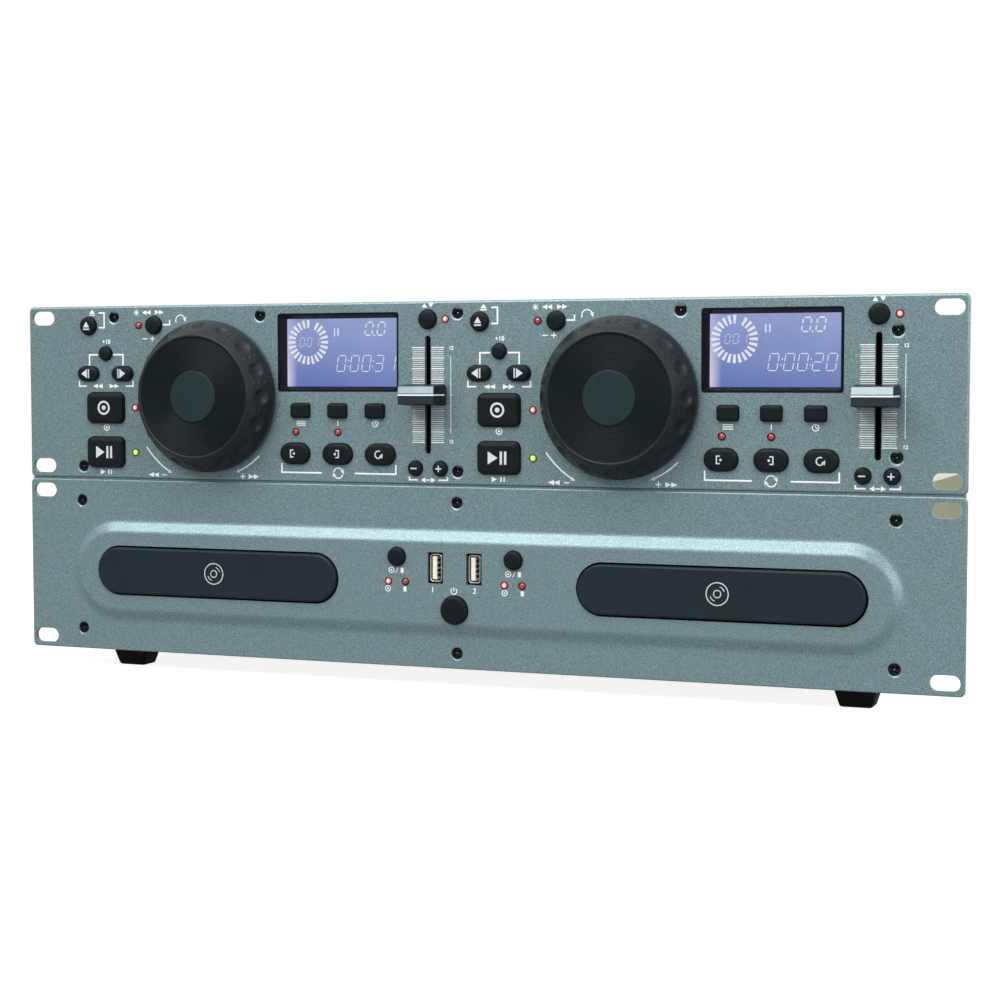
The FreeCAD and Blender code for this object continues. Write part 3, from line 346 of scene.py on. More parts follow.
def circuit_lacquer(name):
    """Green board: solder mask over a pattern of tracks, with tinned spots."""
    finish = Finish(name)
    tracks = finish.node("ShaderNodeTexBrick", {"offset": 0.37, "squash": 2.0},
                         {"Vector": finish.place, "Scale": 260.0, "Mortar Size": 0.016, "Bias": -0.2},
                         "Fac")
    cells = finish.node("ShaderNodeTexVoronoi", inputs={"Vector": finish.place, "Scale": 230.0})
    spots = finish.held((0.22 - cells) * 12)
    mask = finish.blend(tracks, tone(18, 74, 44), tone(44, 112, 66))
    base = finish.blend(spots, mask, tone(176, 180, 178))
    return finish.surface(Base_Color=base, Roughness=0.36 - spots * 0.1, Metallic=spots * 0.8,
                          Normal=finish.bump(tracks, TRACK_RELIEF, 0.5))


def clear_window(name):
    """Clear acrylic, a little hazy; what is behind it stays sharp."""
    finish = Finish(name)
    haze = finish.contrast(finish.grain(WINDOW_HAZE, 2.0), 1.6)
    base = finish.blend(haze, tone(30, 34, 44), tone(52, 56, 66))
    return finish.surface(Base_Color=base, Roughness=0.03 + haze * 0.03, Specular_IOR_Level=0.5,
                          Alpha=0.05 + haze * 0.05)


def display_glow(name, corner, reach, low, high):
    """Backlight that goes from deep at the lower left to pale at the upper right."""
    finish = Finish(name)
    spot = finish.node("ShaderNodeMapping", inputs={
        "Vector": finish.place, "Location": (-corner[0] / reach[0], 0.0, -corner[1] / reach[1]),
        "Scale": (1 / reach[0], 1.0, 1 / reach[1])})
    parts = finish.node("ShaderNodeSeparateXYZ", inputs={0: spot})
    across = Wire(finish, parts.socket.node.outputs["X"])
    up = Wire(finish, parts.socket.node.outputs["Z"])
    cloud = finish.contrast(finish.grain(GLOW_CLOUD, 1.0), 1.2)
    height = finish.held(up * 0.75 + across * 0.2 + cloud * 0.16 - 0.08)
    field = finish.blend(height, low, high)
    edge = finish.held(1 - across * 11) * finish.held(1.15 - up * 0.75)
    bright = finish.blend(edge * 0.8, field, tone(240, 232, 246))
    return finish.surface(Base_Color=tone(20, 22, 30), Roughness=0.3, Emission_Color=bright,
                          Emission_Strength=1.0)


def display_segment(name):
    """Pale segments, a little uneven along their length."""
    finish = Finish(name)
    level = finish.contrast(finish.grain(SEGMENT_GRAIN), 1.6)
    bright = finish.blend(level, tone(214, 222, 244), tone(246, 249, 255))
    return finish.surface(Base_Color=tone(40, 40, 46), Roughness=0.4, Emission_Color=bright,
                          Emission_Strength=1.0)


def lamp_lens(name, shade, core, strength):
    """Domed lens that is brightest in its middle."""
    finish = Finish(name)
    centre = finish.node("ShaderNodeAttribute", {"attribute_name": "core"}, output="Fac")
    bright = finish.blend(finish.held(centre * centre), scaled(shade, 0.45), core)
    return finish.surface(Base_Color=shade, Roughness=0.16, Coat_Weight=1.0, Coat_Roughness=0.05,
                          Emission_Color=bright, Emission_Strength=strength)


# ---- Shapes ------------------------------------------------------------------
class Mould:
    """A piece being shaped as a drawing, in metres: x right, y up, z out of its face."""

    def __init__(self):
        self.bm = bmesh.new()

    def since(self, before):
        return [face for face in self.bm.faces if face not in before]

    def mark(self, faces, material):
        for face in faces:
            face.material_index = material

    def merge(self):
        bmesh.ops.remove_doubles(self.bm, verts=self.bm.verts[:], dist=MERGE_WITHIN)

    def draw_out(self, faces, depth):
        """Draw faces out along z into a solid; gives the faces at the far end."""
        drawn = bmesh.ops.extrude_face_region(self.bm, geom=faces)["geom"]
        verts = [part for part in drawn if isinstance(part, bmesh.types.BMVert)]
        bmesh.ops.translate(self.bm, vec=(0.0, 0.0, depth), verts=verts)
        return [part for part in drawn if isinstance(part, bmesh.types.BMFace)]

    def plate(self, width, height, radius=0.0, x=0.0, y=0.0, z=0.0, turn=0.0, material=0, steps=6):
        """Flat face: a rectangle, with round corners if it has a radius."""
        before = set(self.bm.faces)
        spread = (Matrix.Translation((x, y, z)) @ Matrix.Rotation(turn, 4, "Z")
                  @ Matrix.Diagonal((width, height, 1.0, 1.0)))
        made = bmesh.ops.create_grid(self.bm, x_segments=1, y_segments=1, size=0.5, matrix=spread)
        if radius:
            round_verts = bmesh.ops.bevel(
                self.bm, geom=made["verts"], offset=radius, offset_type="OFFSET", affect="VERTICES",
                segments=steps, profile=0.5, material=-1)["verts"]
            bmesh.ops.remove_doubles(self.bm, verts=round_verts, dist=TINY)
        face = self.since(before)[0]
        face.material_index = material
        return face

    def disc(self, radius, x=0.0, y=0.0, z=0.0, segments=24):
        """Flat round face."""
        before = set(self.bm.faces)
        bmesh.ops.create_circle(self.bm, cap_ends=True, segments=segments, radius=radius,
                                matrix=Matrix.Translation((x, y, z)))
        return self.since(before)[0]

    def pull(self, face, depth):
        """Draw one face out, sides and all in its own material; gives the face at its far end."""
        return self.pull_all([face], depth)[0]

    def pull_all(self, faces, depth):
        """Draw faces out as pull does; gives the faces at the far end."""
        material = faces[0].material_index
        before = set(self.bm.faces)
        ends = self.draw_out(faces, depth)
        self.mark(self.since(before), material)
        return ends

    def bridge(self, plates, material=0):
        """Turn two flat faces, one inside the other, into the frame between their outlines."""
        edges = [edge for face in plates for edge in face.edges]
        made = bmesh.ops.bridge_loops(self.bm, edges=edges)["faces"]
        bmesh.ops.delete(self.bm, geom=plates, context="FACES_ONLY")
        self.mark(made, material)
        return made

    def step(self, face, inset, rise=0.0):
        """Shrink a face inside its edge and lift it by rise."""
        bmesh.ops.inset_individual(self.bm, faces=[face], thickness=inset, depth=rise,
                                   use_even_offset=True)
        return face

    def ease(self, face, radius, steps):
        """Round a face's edge by a quarter circle."""
        angles = [math.pi / 2 * number / steps for number in range(steps + 1)]
        for here, there in zip(angles, angles[1:]):
            self.step(face, radius * (math.cos(here) - math.cos(there)),
                      radius * (math.sin(there) - math.sin(here)))

    def spin(self, profile, x=0.0, y=0.0, steps=64, material=0, start=0.0, angle=math.tau):
        """Turn a line of (radius, z) points about the axis that faces out."""
        before = set(self.bm.faces)
        turn = Matrix.Translation((x, y, 0.0)) @ Matrix.Rotation(start, 4, "Z")
        verts = [self.bm.verts.new(turn @ Vector((radius, 0.0, z))) for radius, z in profile]
        edges = [self.bm.edges.new(pair) for pair in zip(verts, verts[1:])]
        whole = angle > math.tau - TINY
        bmesh.ops.spin(self.bm, geom=verts + edges, cent=(x, y, 0.0), axis=(0.0, 0.0, 1.0), angle=angle,
                       steps=steps, use_merge=whole)
        faces = self.since(before)
        if whole:
            poles = [vert for face in faces for vert in face.verts
                     if math.hypot(vert.co.x - x, vert.co.y - y) < TINY]
            bmesh.ops.remove_doubles(self.bm, verts=list(set(poles)), dist=TINY)
            faces = self.since(before)
        self.mark(faces, material)
        return faces

    def meshed(self, name, finishes):
        """The finished shape as an object in the scene."""
        mesh = bpy.data.meshes.new(name)
        self.bm.to_mesh(mesh)
        self.bm.free()
        for finish in finishes:
            mesh.materials.append(finish)
        made = bpy.data.objects.new(name, mesh)
        bpy.context.scene.collection.objects.link(made)
        return made

    def cast(self, name, place, node=None, body=None, slot=None, finishes=(), sharp=32.0, outward=True):
        """Make the finished piece, ride it on its body and let it stand for its node."""
        if outward:
            bmesh.ops.recalc_face_normals(self.bm, faces=self.bm.faces[:])
        self.bm.transform(place)
        piece = self.meshed(name, finishes)
        piece.data.shade_smooth()
        piece.data.set_sharp_from_angle(angle=math.radians(sharp))
        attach(piece, body or BODY_OF[node])
        if node:
            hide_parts(node)
        even = piece.modifiers.new("even_shading", "WEIGHTED_NORMAL")
        even.keep_sharp = True
        return piece


def standing(x, y, z):
    """Where a drawing goes that faces the front."""
    return Matrix.Translation((x, y, z)) @ FRONTWARD


def refined(node, name, slot, finishes, bevel=0.0, choose=None, segments=2, angle=35.0, fold=None):
    """A copy of a CAD node with merged faces and softened edges, which stands for it.

    choose gives a face's place in finishes, from its middle and its normal, and fold tells the
    points on an edge that a press has folded round.
    """
    mould = Mould()
    mould.bm.from_mesh(frame["nodes"][node].data)
    mould.merge()
    bmesh.ops.dissolve_limit(mould.bm, angle_limit=FLAT_WITHIN, verts=mould.bm.verts[:],
                             edges=mould.bm.edges[:])
    if fold:
        edges = [edge for edge in mould.bm.edges if all(fold(vert.co) for vert in edge.verts)]
        bmesh.ops.bevel(mould.bm, geom=edges, offset=FOLD_R, offset_type="OFFSET", affect="EDGES",
                        segments=4, profile=0.5, material=-1, clamp_overlap=True)
    for face in mould.bm.faces:
        face.material_index = choose(face.calc_center_median(), face.normal) if choose else 0
    piece = mould.cast(name, Matrix.Identity(4), node=node, slot=slot, finishes=finishes, sharp=angle,
                       outward=False)
    if bevel:
        soft = piece.modifiers.new("soft_edges", "BEVEL")
        soft.width = bevel
        soft.segments = segments
        soft.limit_method = "ANGLE"
        soft.angle_limit = math.radians(angle)
        soft.use_clamp_overlap = True
        soft.material = -1
        piece.modifiers.move(1, 0)
    return piece


ARROW_AHEAD = 0.6
ARROW_HEAD = (2.2, 2.0)
PAIR_APART = 0.48
TEXT_SCALE = 1.4
TEXT_WEIGHT = 0.07 * MM


class Ink(Mould):
    """Flat printing, drawn in millimetres from the middle of what it is printed on."""

    def strokes(self, rows):
        """Draw rows that each hold the name of one of the ways below, then its numbers."""
        for way, *numbers in rows:
            getattr(self, way)(*numbers)

    def bar(self, x, y, width, height, turn=0.0):
        """Rectangle about its middle."""
        self.plate(width * MM, height * MM, x=x * MM, y=y * MM, turn=turn)

    def line(self, start, end, width):
        run = Vector(end) - Vector(start)
        mid = (Vector(start) + Vector(end)) / 2
        self.bar(mid.x, mid.y, run.length, width, math.atan2(run.y, run.x))

    def path(self, points, width):
        """Square-cornered line that never covers itself."""
        points = [Vector(point) for point in points]
        for number, (start, end) in enumerate(zip(points, points[1:])):
            along = (end - start).normalized() * width / 2
            self.line(start + along if number else start,
                      end + along if number < len(points) - 2 else end, width)

    def arc(self, x, y, radius, start, end, width, steps=24):
        self.spin([((radius - width / 2) * MM, 0.0), ((radius + width / 2) * MM, 0.0)], x * MM, y * MM,
                  steps=steps, start=math.radians(start), angle=math.radians(end - start))

    def ring(self, x, y, radius, width):
        self.arc(x, y, radius, 0, 360, width, 40)

    def dot(self, x, y, radius):
        self.disc(radius * MM, x * MM, y * MM)

    def triangle(self, x, y, width, height, turn=0.0):
        """Triangle that points right, or turned from there by degrees."""
        before = set(self.bm.verts)
        bmesh.ops.create_circle(self.bm, cap_ends=True, segments=3, radius=1.0)
        verts = [vert for vert in self.bm.verts if vert not in before]
        fit = (Matrix.Translation((x * MM, y * MM, 0.0)) @ Matrix.Rotation(math.radians(turn), 4, "Z")
               @ Matrix.Diagonal((width * MM / 1.5, height * MM / math.sqrt(3), 1.0, 1.0))
               @ Matrix.Translation((-0.25, 0.0, 0.0)) @ Matrix.Rotation(math.radians(-90), 4, "Z"))
        bmesh.ops.transform(self.bm, matrix=fit, verts=verts)

    def winding(self, x, y, way, width, height):
        """Pair of triangles that point the same way: -1 for back, 1 for forward."""
        for side in (-1, 1):
            self.triangle(x + side * width * PAIR_APART, y, width, height, 0 if way > 0 else 180)

    def minus(self, x, y, size, width):
        self.bar(x, y, size, width)

    def plus(self, x, y, size, width):
        self.minus(x, y, size, width)
        arm = (size - width) / 2
        for side in (-1, 1):
            self.bar(x, y + side * (width + arm) / 2, width, arm)

    def text(self, words, x, y, height):
        """Plain numbers and signs, centred on their place."""
        curve = bpy.data.curves.new("print_text", "FONT")
        curve.body = words
        curve.align_x = "CENTER"
        curve.align_y = "CENTER"
        curve.size = height * MM * TEXT_SCALE
        curve.resolution_u = 3
        curve.offset = TEXT_WEIGHT
        holder = bpy.data.objects.new("print_text", curve)
        mesh = bpy.data.meshes.new_from_object(holder)
        mesh.transform(Matrix.Translation((x * MM, y * MM, 0.0)))
        self.bm.from_mesh(mesh)
        bpy.data.objects.remove(holder)
        bpy.data.curves.remove(curve)
        bpy.data.meshes.remove(mesh)

    def arrow_arc(self, x, y, radius, start, end, width):
        """Arc that ends in an arrowhead; it runs from start to end, in degrees."""
        self.arc(x, y, radius, min(start, end), max(start, end), width)
        tip = math.radians(end)
        way = 90 if end > start else -90
        ahead = tip + math.radians(way)
        self.triangle(x + radius * math.cos(tip) + ARROW_AHEAD * math.cos(ahead),
                      y + radius * math.sin(tip) + ARROW_AHEAD * math.sin(ahead),
                      *ARROW_HEAD, end + way)

    def printed(self, name, place, body, thickness, slot, finishes):
        """Give the flat drawing its thickness and lay it on its face."""
        bmesh.ops.recalc_face_normals(self.bm, faces=self.bm.faces[:])
        for face in self.bm.faces:
            if face.normal.z < 0:
                face.normal_flip()
        self.draw_out(self.bm.faces[:], thickness)
        return self.cast(name, place, body=body, slot=slot, finishes=finishes)


# ---- Front panels and boxes --------------------------------------------------
SCREW_HEAD_R = 3.0 * MM
SCREW_L = 8.0 * MM
SEAT_R = 3.1 * MM
DIMPLE_R = 3.75 * MM
NEAR = 0.01 * MM
FOLD_R = 1.2 * MM
PANEL_CORNER = 2.5 * MM


def screw_heads():
    """Place, sense and way of each screw head, found from the flat heads of the CAD screws."""
    mould = Mould()
    mould.bm.from_mesh(frame["nodes"]["screws"].data)
    mould.merge()
    heads = []
    left = set(mould.bm.verts)
    while left:
        island = [left.pop()]
        for vert in island:
            for edge in vert.link_edges:
                other = edge.other_vert(vert)
                if other in left:
                    left.remove(other)
                    island.append(other)
        low = Vector([min(vert.co[axis] for vert in island) for axis in range(3)])
        high = Vector([max(vert.co[axis] for vert in island) for axis in range(3)])
        spot = (low + high) / 2
        if high.y - low.y > SCREW_L - MM:
            heads.append(Matrix.Translation((spot.x, low.y, spot.z)) @ FRONTWARD)
        else:
            way = 1 if spot.x > 0 else -1
            face = high.x if way > 0 else low.x
            heads.append(Matrix.Translation((face, spot.y, spot.z))
                         @ Matrix.Rotation(math.radians(90 * way), 4, "Z") @ FRONTWARD)
    mould.bm.free()
    return heads


def front_outline(node):
    """Tells the points on a panel's outer edge in front, straight runs and round corners alike."""
    low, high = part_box(node)
    mid = middle(node)

    def on_outline(point):
        across = (high.x - low.x) / 2 - abs(point.x - mid.x)
        up = (high.z - low.z) / 2 - abs(point.z - mid.z)
        corner = math.hypot(PANEL_CORNER - across, PANEL_CORNER - up)
        rounded = across < PANEL_CORNER and up < PANEL_CORNER and abs(corner - PANEL_CORNER) < NEAR
        return abs(point.y - FRONT) < NEAR and (min(across, up) < NEAR or rounded)

    return on_outline


class DISC_OT_panels(bpy.types.Operator):
    """Give both front panels soft edges and speckled paint"""
    bl_idname = "disc_player.panels"
    bl_label = "Front panels"

    def execute(self, context):
        settings = context.scene.disc_sizes
        paint = speckled_paint("panel_paint", context.scene.disc_colours.panel_paint)
        spots = [head.to_translation() for head in screw_heads()]
        for node in ("control_panel", "drive_panel"):
            piece = refined(node, node + "_sheet", "panel_paint", [paint], settings.sheet_bevel,
                            fold=front_outline(node))
            for vert in piece.data.vertices:
                for spot in spots:
                    off = vert.co - spot
                    if abs(off.y) < NEAR and SCREW_HEAD_R < off.length < SEAT_R + NEAR:
                        vert.co += off.normalized() * (DIMPLE_R - off.length)
        return {"FINISHED"}


# The seam strip is a grey-blue sheet set in the gap between the two panels, sunk behind them: painted shade
# in the seam.
SEAM_INSET = 1.2 * MM
SEAM_SINK = 0.5 * MM
FLANGE_DEPTH = 4.0 * MM
# How much of a face's normal makes it count as facing sideways, or up.
SIDEWAYS = 0.5
UPWARD = 0.7


class DISC_OT_boxes(bpy.types.Operator):
    """Finish the control case, the chassis, its cover and the feet"""
    bl_idname = "disc_player.boxes"
    bl_label = "Boxes and feet"

    def execute(self, context):
        bevel = context.scene.disc_sizes.sheet_bevel
        colours = context.scene.disc_colours
        upper = zinc_sheet("case_steel", colours.case_steel)
        lower = zinc_sheet("chassis_steel", colours.chassis_steel)
        # The dark finish on the boxes' front faces just behind the panels is painted shade in the gap between
        # the panels.
        gap_shade = moulded("front_primer", tone(20, 24, 25), rough=0.6)

        # Front faces just behind the panels take the dark finish: painted shade.
        def front_flange(centre, normal):
            return 1 if centre.y < BACK + FLANGE_DEPTH and abs(normal.x) < SIDEWAYS else 0

        # The cover's upward faces take the paler zinc of the upper box, while its sides keep the darker zinc:
        # painted light on its top.
        def cover_light_and_shade(centre, normal):
            return 2 if normal.z > UPWARD else front_flange(centre, normal)

        for node, finishes, choose in (("control_case", [upper, gap_shade], front_flange),
                                       ("drive_chassis", [lower, gap_shade], front_flange),
                                       ("drive_cover", [lower, gap_shade, upper], cover_light_and_shade)):
            refined(node, node + "_shell", "case_steel", finishes, bevel, choose=choose)
        low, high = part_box("drive_panel")
        gap = PANEL_LOW.z - high.z
        # A grey-blue strip fills the gap between the two panels: painted shade in the seam.
        seam_shade = Mould()
        strip = seam_shade.plate(high.x - low.x - 2 * SEAM_INSET, gap, z=FRONT - BACK)
        strip = seam_shade.pull(strip, BACK - FRONT - SEAM_SINK)
        seam_shade.cast("seam_felt", standing(0.0, FRONT, high.z + gap / 2), body="housing", slot="foot_rubber",
                  finishes=[moulded("seam_felt", tone(100, 116, 120), rough=0.7, depth=0.05 * MM)])
        rubber = moulded("foot_rubber", tone(11, 13, 14), rough=0.6, depth=0.05 * MM)
        refined("feet", "rubber_feet", "foot_rubber", [rubber], bevel=1.0 * MM, segments=3)
        return {"FINISHED"}


# ---- Screws ------------------------------------------------------------------
SCREW_SHANK_R = 1.5 * MM
SCREW_HEAD_H = 1.4 * MM
SCREW_SINK = 0.3 * MM
SCREW_DOME = 0.55 * MM
SCREW_STEPS = 32
SCREW_RINGS = 9
RECESS_R = 2.1 * MM
RECESS_DEPTH = 0.9 * MM
RECESS_TIP = -0.25 * MM
RECESS_TIP_R = 0.5 * MM
RECESS_CORE_R = 0.525 * MM
SCREW_TURN = 0.7


def cross_screw(mould, turn):
    """Domed countersunk head with a cross recess, on its shank."""
    before = set(mould.bm.verts)
    profile = []
    for number in range(SCREW_RINGS + 1):
        share = number / SCREW_RINGS
        profile.append((SCREW_HEAD_R * share, SCREW_DOME * (1 - share * share) - SCREW_SINK))
    crown = mould.spin(profile, steps=SCREW_STEPS)
    mould.spin([(SCREW_HEAD_R, -SCREW_SINK), (SCREW_SHANK_R, -SCREW_HEAD_H), (SCREW_SHANK_R, -SCREW_L),
                (0.0, -SCREW_L)], steps=SCREW_STEPS)
    recess = []
    for face in crown:
        spot = face.calc_center_median()
        angle = math.atan2(spot.y, spot.x) % (math.pi / 2)
        arm = min(angle, math.pi / 2 - angle) < math.tau / SCREW_STEPS
        reach = math.hypot(spot.x, spot.y)
        if reach < RECESS_R and (arm or reach < RECESS_CORE_R):
            recess.append(face)
    kept = set(mould.bm.faces)
    mould.draw_out(recess, -RECESS_DEPTH)
    # Recess walls and floor take the darker steel: painted shade in the cross.
    mould.mark(mould.since(kept), 1)
    bmesh.ops.delete(mould.bm, geom=[face for face in recess if face.is_valid], context="FACES")
    # A bright metal cone in the middle of the recess is a painted glint.
    mould.spin([(0.0, RECESS_TIP), (RECESS_TIP_R, -RECESS_DEPTH), (0.0, -RECESS_DEPTH)], steps=12, material=2)
    made = [vert for vert in mould.bm.verts if vert not in before]
    bmesh.ops.transform(mould.bm, matrix=turn, verts=made)


class DISC_OT_screws(bpy.types.Operator):
    """Make the cross-head screws of the panels and of the cover"""
    bl_idname = "disc_player.screws"
    bl_label = "Screws"

    def execute(self, context):
        mould = Mould()
        for number, head in enumerate(screw_heads()):
            cross_screw(mould, head @ Matrix.Rotation(number * SCREW_TURN, 4, "Z"))
        mould.merge()
        steel = metal("black_steel", tone(44, 47, 49), rough=0.2)
        # The recess's darker steel is painted shade.
        recess = metal("screw_recess", tone(12, 13, 14), rough=0.35)
        mould.cast("cross_screws", Matrix.Identity(4), node="screws", slot="black_steel",
                   # The screw's bright tip finish is a painted glint.
                   finishes=[steel, recess, metal("screw_tip", tone(214, 218, 218), rough=0.3)], sharp=40.0)
        return {"FINISHED"}


# ---- Printing ----------------------------------------------------------------
# Each row is one of Ink's ways to draw and its numbers, in millimetres. A bar's turn is in radians
# and other angles are in degrees. A deck's rows are from its middle, the drive's from its panel's.
PRINT_LINE = 0.75
BRACKETS = (
    [(-90.6, 40.6), (-87.4, 40.6), (-87.4, 33.0), (-90.6, 33.0)],
    [(-52.8, 34.2), (-48.8, 34.2), (-48.8, 36.6)],
    [(-91.1, 19.2), (-96.4, 19.2), (-96.4, 13.7)],
    [(-82.2, 19.2), (-76.4, 19.2), (-76.4, 13.7)],
    [(-102.6, 6.0), (-102.6, 3.1), (-98.3, 3.1)],
    [(-70.6, 6.0), (-70.6, 3.1), (-74.9, 3.1)],
    [(14.4, -34.9), (14.4, -39.4), (36.4, -39.4)],
    [(76.4, -34.9), (76.4, -39.4), (54.4, -39.4)],
    [(83.6, -40.4), (83.6, -41.9), (88.2, -41.9)],
    [(103.6, -40.4), (103.6, -41.9), (98.8, -41.9)],
)
JOG_ARCS = (
    ("arrow_arc", -26.45, -2.0, 44.6, 215.3, 238.6, 0.72),
    ("arrow_arc", -26.45, -2.0, 40.8, 313.9, 294.0, 0.72),
)
SCALE_X = 93.55
SCALE_TOP = 21.85
SCALE_LOW = -23.75
SCALE_MID = (SCALE_TOP + SCALE_LOW) / 2
SCALE_LONG = 9
SCALE_MINOR = 5
SCALE_NEAR = 1.75
LONG_MARK = (8.5, 0.45)
SHORT_MARK = (8.1, 0.26)
SCALE_SIGNS = (
    ("bar", 105.4, SCALE_MID + 9.7, 0.28, 18.2),
    ("bar", 105.4, SCALE_MID - 9.7, 0.28, 18.2),
    ("dot", 105.4, SCALE_MID, 0.42),
    ("text", "12", 105.6, SCALE_TOP - 0.4, 1.7),
    ("text", "12", 105.6, SCALE_LOW + 0.4, 1.7),
    ("text", "+10", -86.3, 25.8, 2.2),
)
EJECT_SIGN = (("triangle", -94.5, 41.3, 2.2, 3.2, 90), ("bar", -94.5, 39.5, 3.2, 0.5))
# A dot with rays: its place, how far out the rays stand, and a ray's length and width.
SUN_PLACE = (-68.2, 40.5)
SUN_REACH = 1.05
SUN_RAY = (1.0, 0.32)
DECK_SIGNS = (
    ("dot", *SUN_PLACE, 0.5),
    ("winding", -62.4, 40.5, -1, 2.6, 2.3),
    ("winding", -54.8, 40.5, 1, 2.6, 2.3),
    ("arrow_arc", -42.6, 36.4, 2.6, 205, 15, 0.5),
    ("minus", -63.4, 27.2, 2.9, 0.5),
    ("plus", -59.0, 27.2, 2.9, 0.5),
    ("winding", -91.6, 3.1, -1, 3.0, 2.3),
    ("winding", -81.6, 3.1, 1, 3.0, 2.3),
    ("ring", -86.6, -18.0, 1.5, 0.5),
    ("dot", -86.6, -18.0, 0.6),
    ("triangle", -89.0, -40.9, 2.7, 2.7),
    ("bar", -85.6, -40.9, 0.65, 2.5),
    ("bar", -84.0, -40.9, 0.65, 2.5),
    ("winding", -58.9, -41.9, -1, 3.0, 2.5),
    ("minus", -52.6, -41.9, 2.8, 0.55),
    ("plus", -7.6, -41.9, 2.8, 0.55),
    ("winding", -1.4, -41.9, 1, 3.0, 2.5),
    ("bar", 25.2, -14.0, 5.0, 0.45),
    ("bar", 25.2, -15.0, 5.0, 0.45),
    ("bar", 25.2, -16.0, 5.0, 0.45),
    ("text", "1", 45.3, -15.0, 2.6),
    ("ring", 65.5, -15.0, 1.5, 0.42),
    ("bar", 65.5, -14.5, 0.4, 1.2),
    ("bar", 66.05, -15.3, 0.7, 0.4),
    ("arrow_arc", 45.4, -39.4, 2.5, 165, 25, 0.55),
    ("arrow_arc", 45.4, -39.4, 2.5, 345, 205, 0.55),
    ("triangle", 91.7, 42.0, 2.0, 2.6, 90),
    ("triangle", 95.1, 42.0, 2.0, 2.6, -90),
    ("triangle", 90.95, -41.9, 2.2, 2.4, 180),
    ("triangle", 96.15, -41.9, 2.2, 2.4, 0),
    ("bar", 93.55, -41.9, 2.6, 0.5),
)
# The signs under one source key, from the key's own x.
SOURCE_X = 30.4
SOURCE_SIGNS = (
    ("ring", -2.7, 3.2, 1.3, 0.45),
    ("dot", -2.7, 3.2, 0.45),
    ("bar", 0.2, 3.2, 3.0, 0.4, math.radians(62)),
    ("bar", 2.9, 3.2, 1.6, 2.5),
    ("ring", -4.6, -5.9, 1.3, 0.45),
    ("dot", -4.6, -5.9, 0.45),
    ("bar", 4.4, -5.9, 1.6, 2.4),
)
DRIVE_SIGNS = (
    ("text", "1", -11.4, -5.7, 2.6),
    ("text", "2", 10.4, -5.7, 2.6),
    ("arc", -0.3, -6.0, 1.5, 130, 410, 0.5),
    ("bar", -0.3, -5.1, 0.5, 1.9),
)


def deck_printing(drawing):
    """Brackets, arcs, scale and plain signs round one deck's keys."""
    for bracket in BRACKETS:
        drawing.path(bracket, PRINT_LINE)
    drawing.strokes(JOG_ARCS)
    count = SCALE_LONG * SCALE_MINOR
    for number in range(count + 1):
        far, thick = SHORT_MARK if number % SCALE_MINOR else LONG_MARK
        y = SCALE_TOP + (SCALE_LOW - SCALE_TOP) * number / count
        for side in (-1, 1):
            drawing.bar(SCALE_X + side * (SCALE_NEAR + far) / 2, y, far - SCALE_NEAR, thick)
    drawing.strokes(SCALE_SIGNS + EJECT_SIGN)
    x, y = SUN_PLACE
    for turn in range(0, 180, 45):
        angle = math.radians(turn)
        for way in (-SUN_REACH, SUN_REACH):
            drawing.bar(x + way * math.cos(angle), y + way * math.sin(angle), *SUN_RAY, angle)
    drawing.strokes(DECK_SIGNS)


def drive_printing(drawing):
    """Signs round the drive unit's keys, lamps and sockets."""
    for side in (-1, 1):
        drawing.strokes((way, side * SOURCE_X + x, *rest) for way, x, *rest in SOURCE_SIGNS)
    drawing.strokes(DRIVE_SIGNS)


class DISC_OT_printing(bpy.types.Operator):
    """Print the scales, brackets and signs on both panels"""
    bl_idname = "disc_player.printing"
    bl_label = "Printing"

    def execute(self, context):
        thickness = context.scene.disc_sizes.print_thickness
        white = ink("print_ink", context.scene.disc_colours.print_ink)
        for side, way in SIDES.items():
            deck = Ink()
            deck_printing(deck)
            deck.printed(side + "_deck_print", standing(way * HALF_PITCH, FRONT, CONTROL_MID), "housing",
                         thickness, "panel_paint", [white])
        drive = Ink()
        drive_printing(drive)
        drive.printed("drive_print", standing(0.0, FIELD, DRIVE_MID), "housing", thickness, "panel_paint",
                      [white])
        return {"FINISHED"}


# ---- Keys --------------------------------------------------------------------
KEY_EARS = 0.8 * MM
EAR_THICKNESS = 1.2 * MM
STEM_R = 1.2 * MM
WIDE_KEY = 20.0 * MM
BIG_CORNER = 3.0 * MM
SMALL_CORNER = 1.2 * MM
SMALL_KEYS = ("program", "single", "time")
SMALL_KEY_EDGE = 0.6
ROUND_WITHIN = 0.1 * MM
KEY_EDGE_RINGS = 5
ROUND_KEY_STEPS = 56
CORNER_STEPS = 14
SMALL_CORNER_STEPS = 7
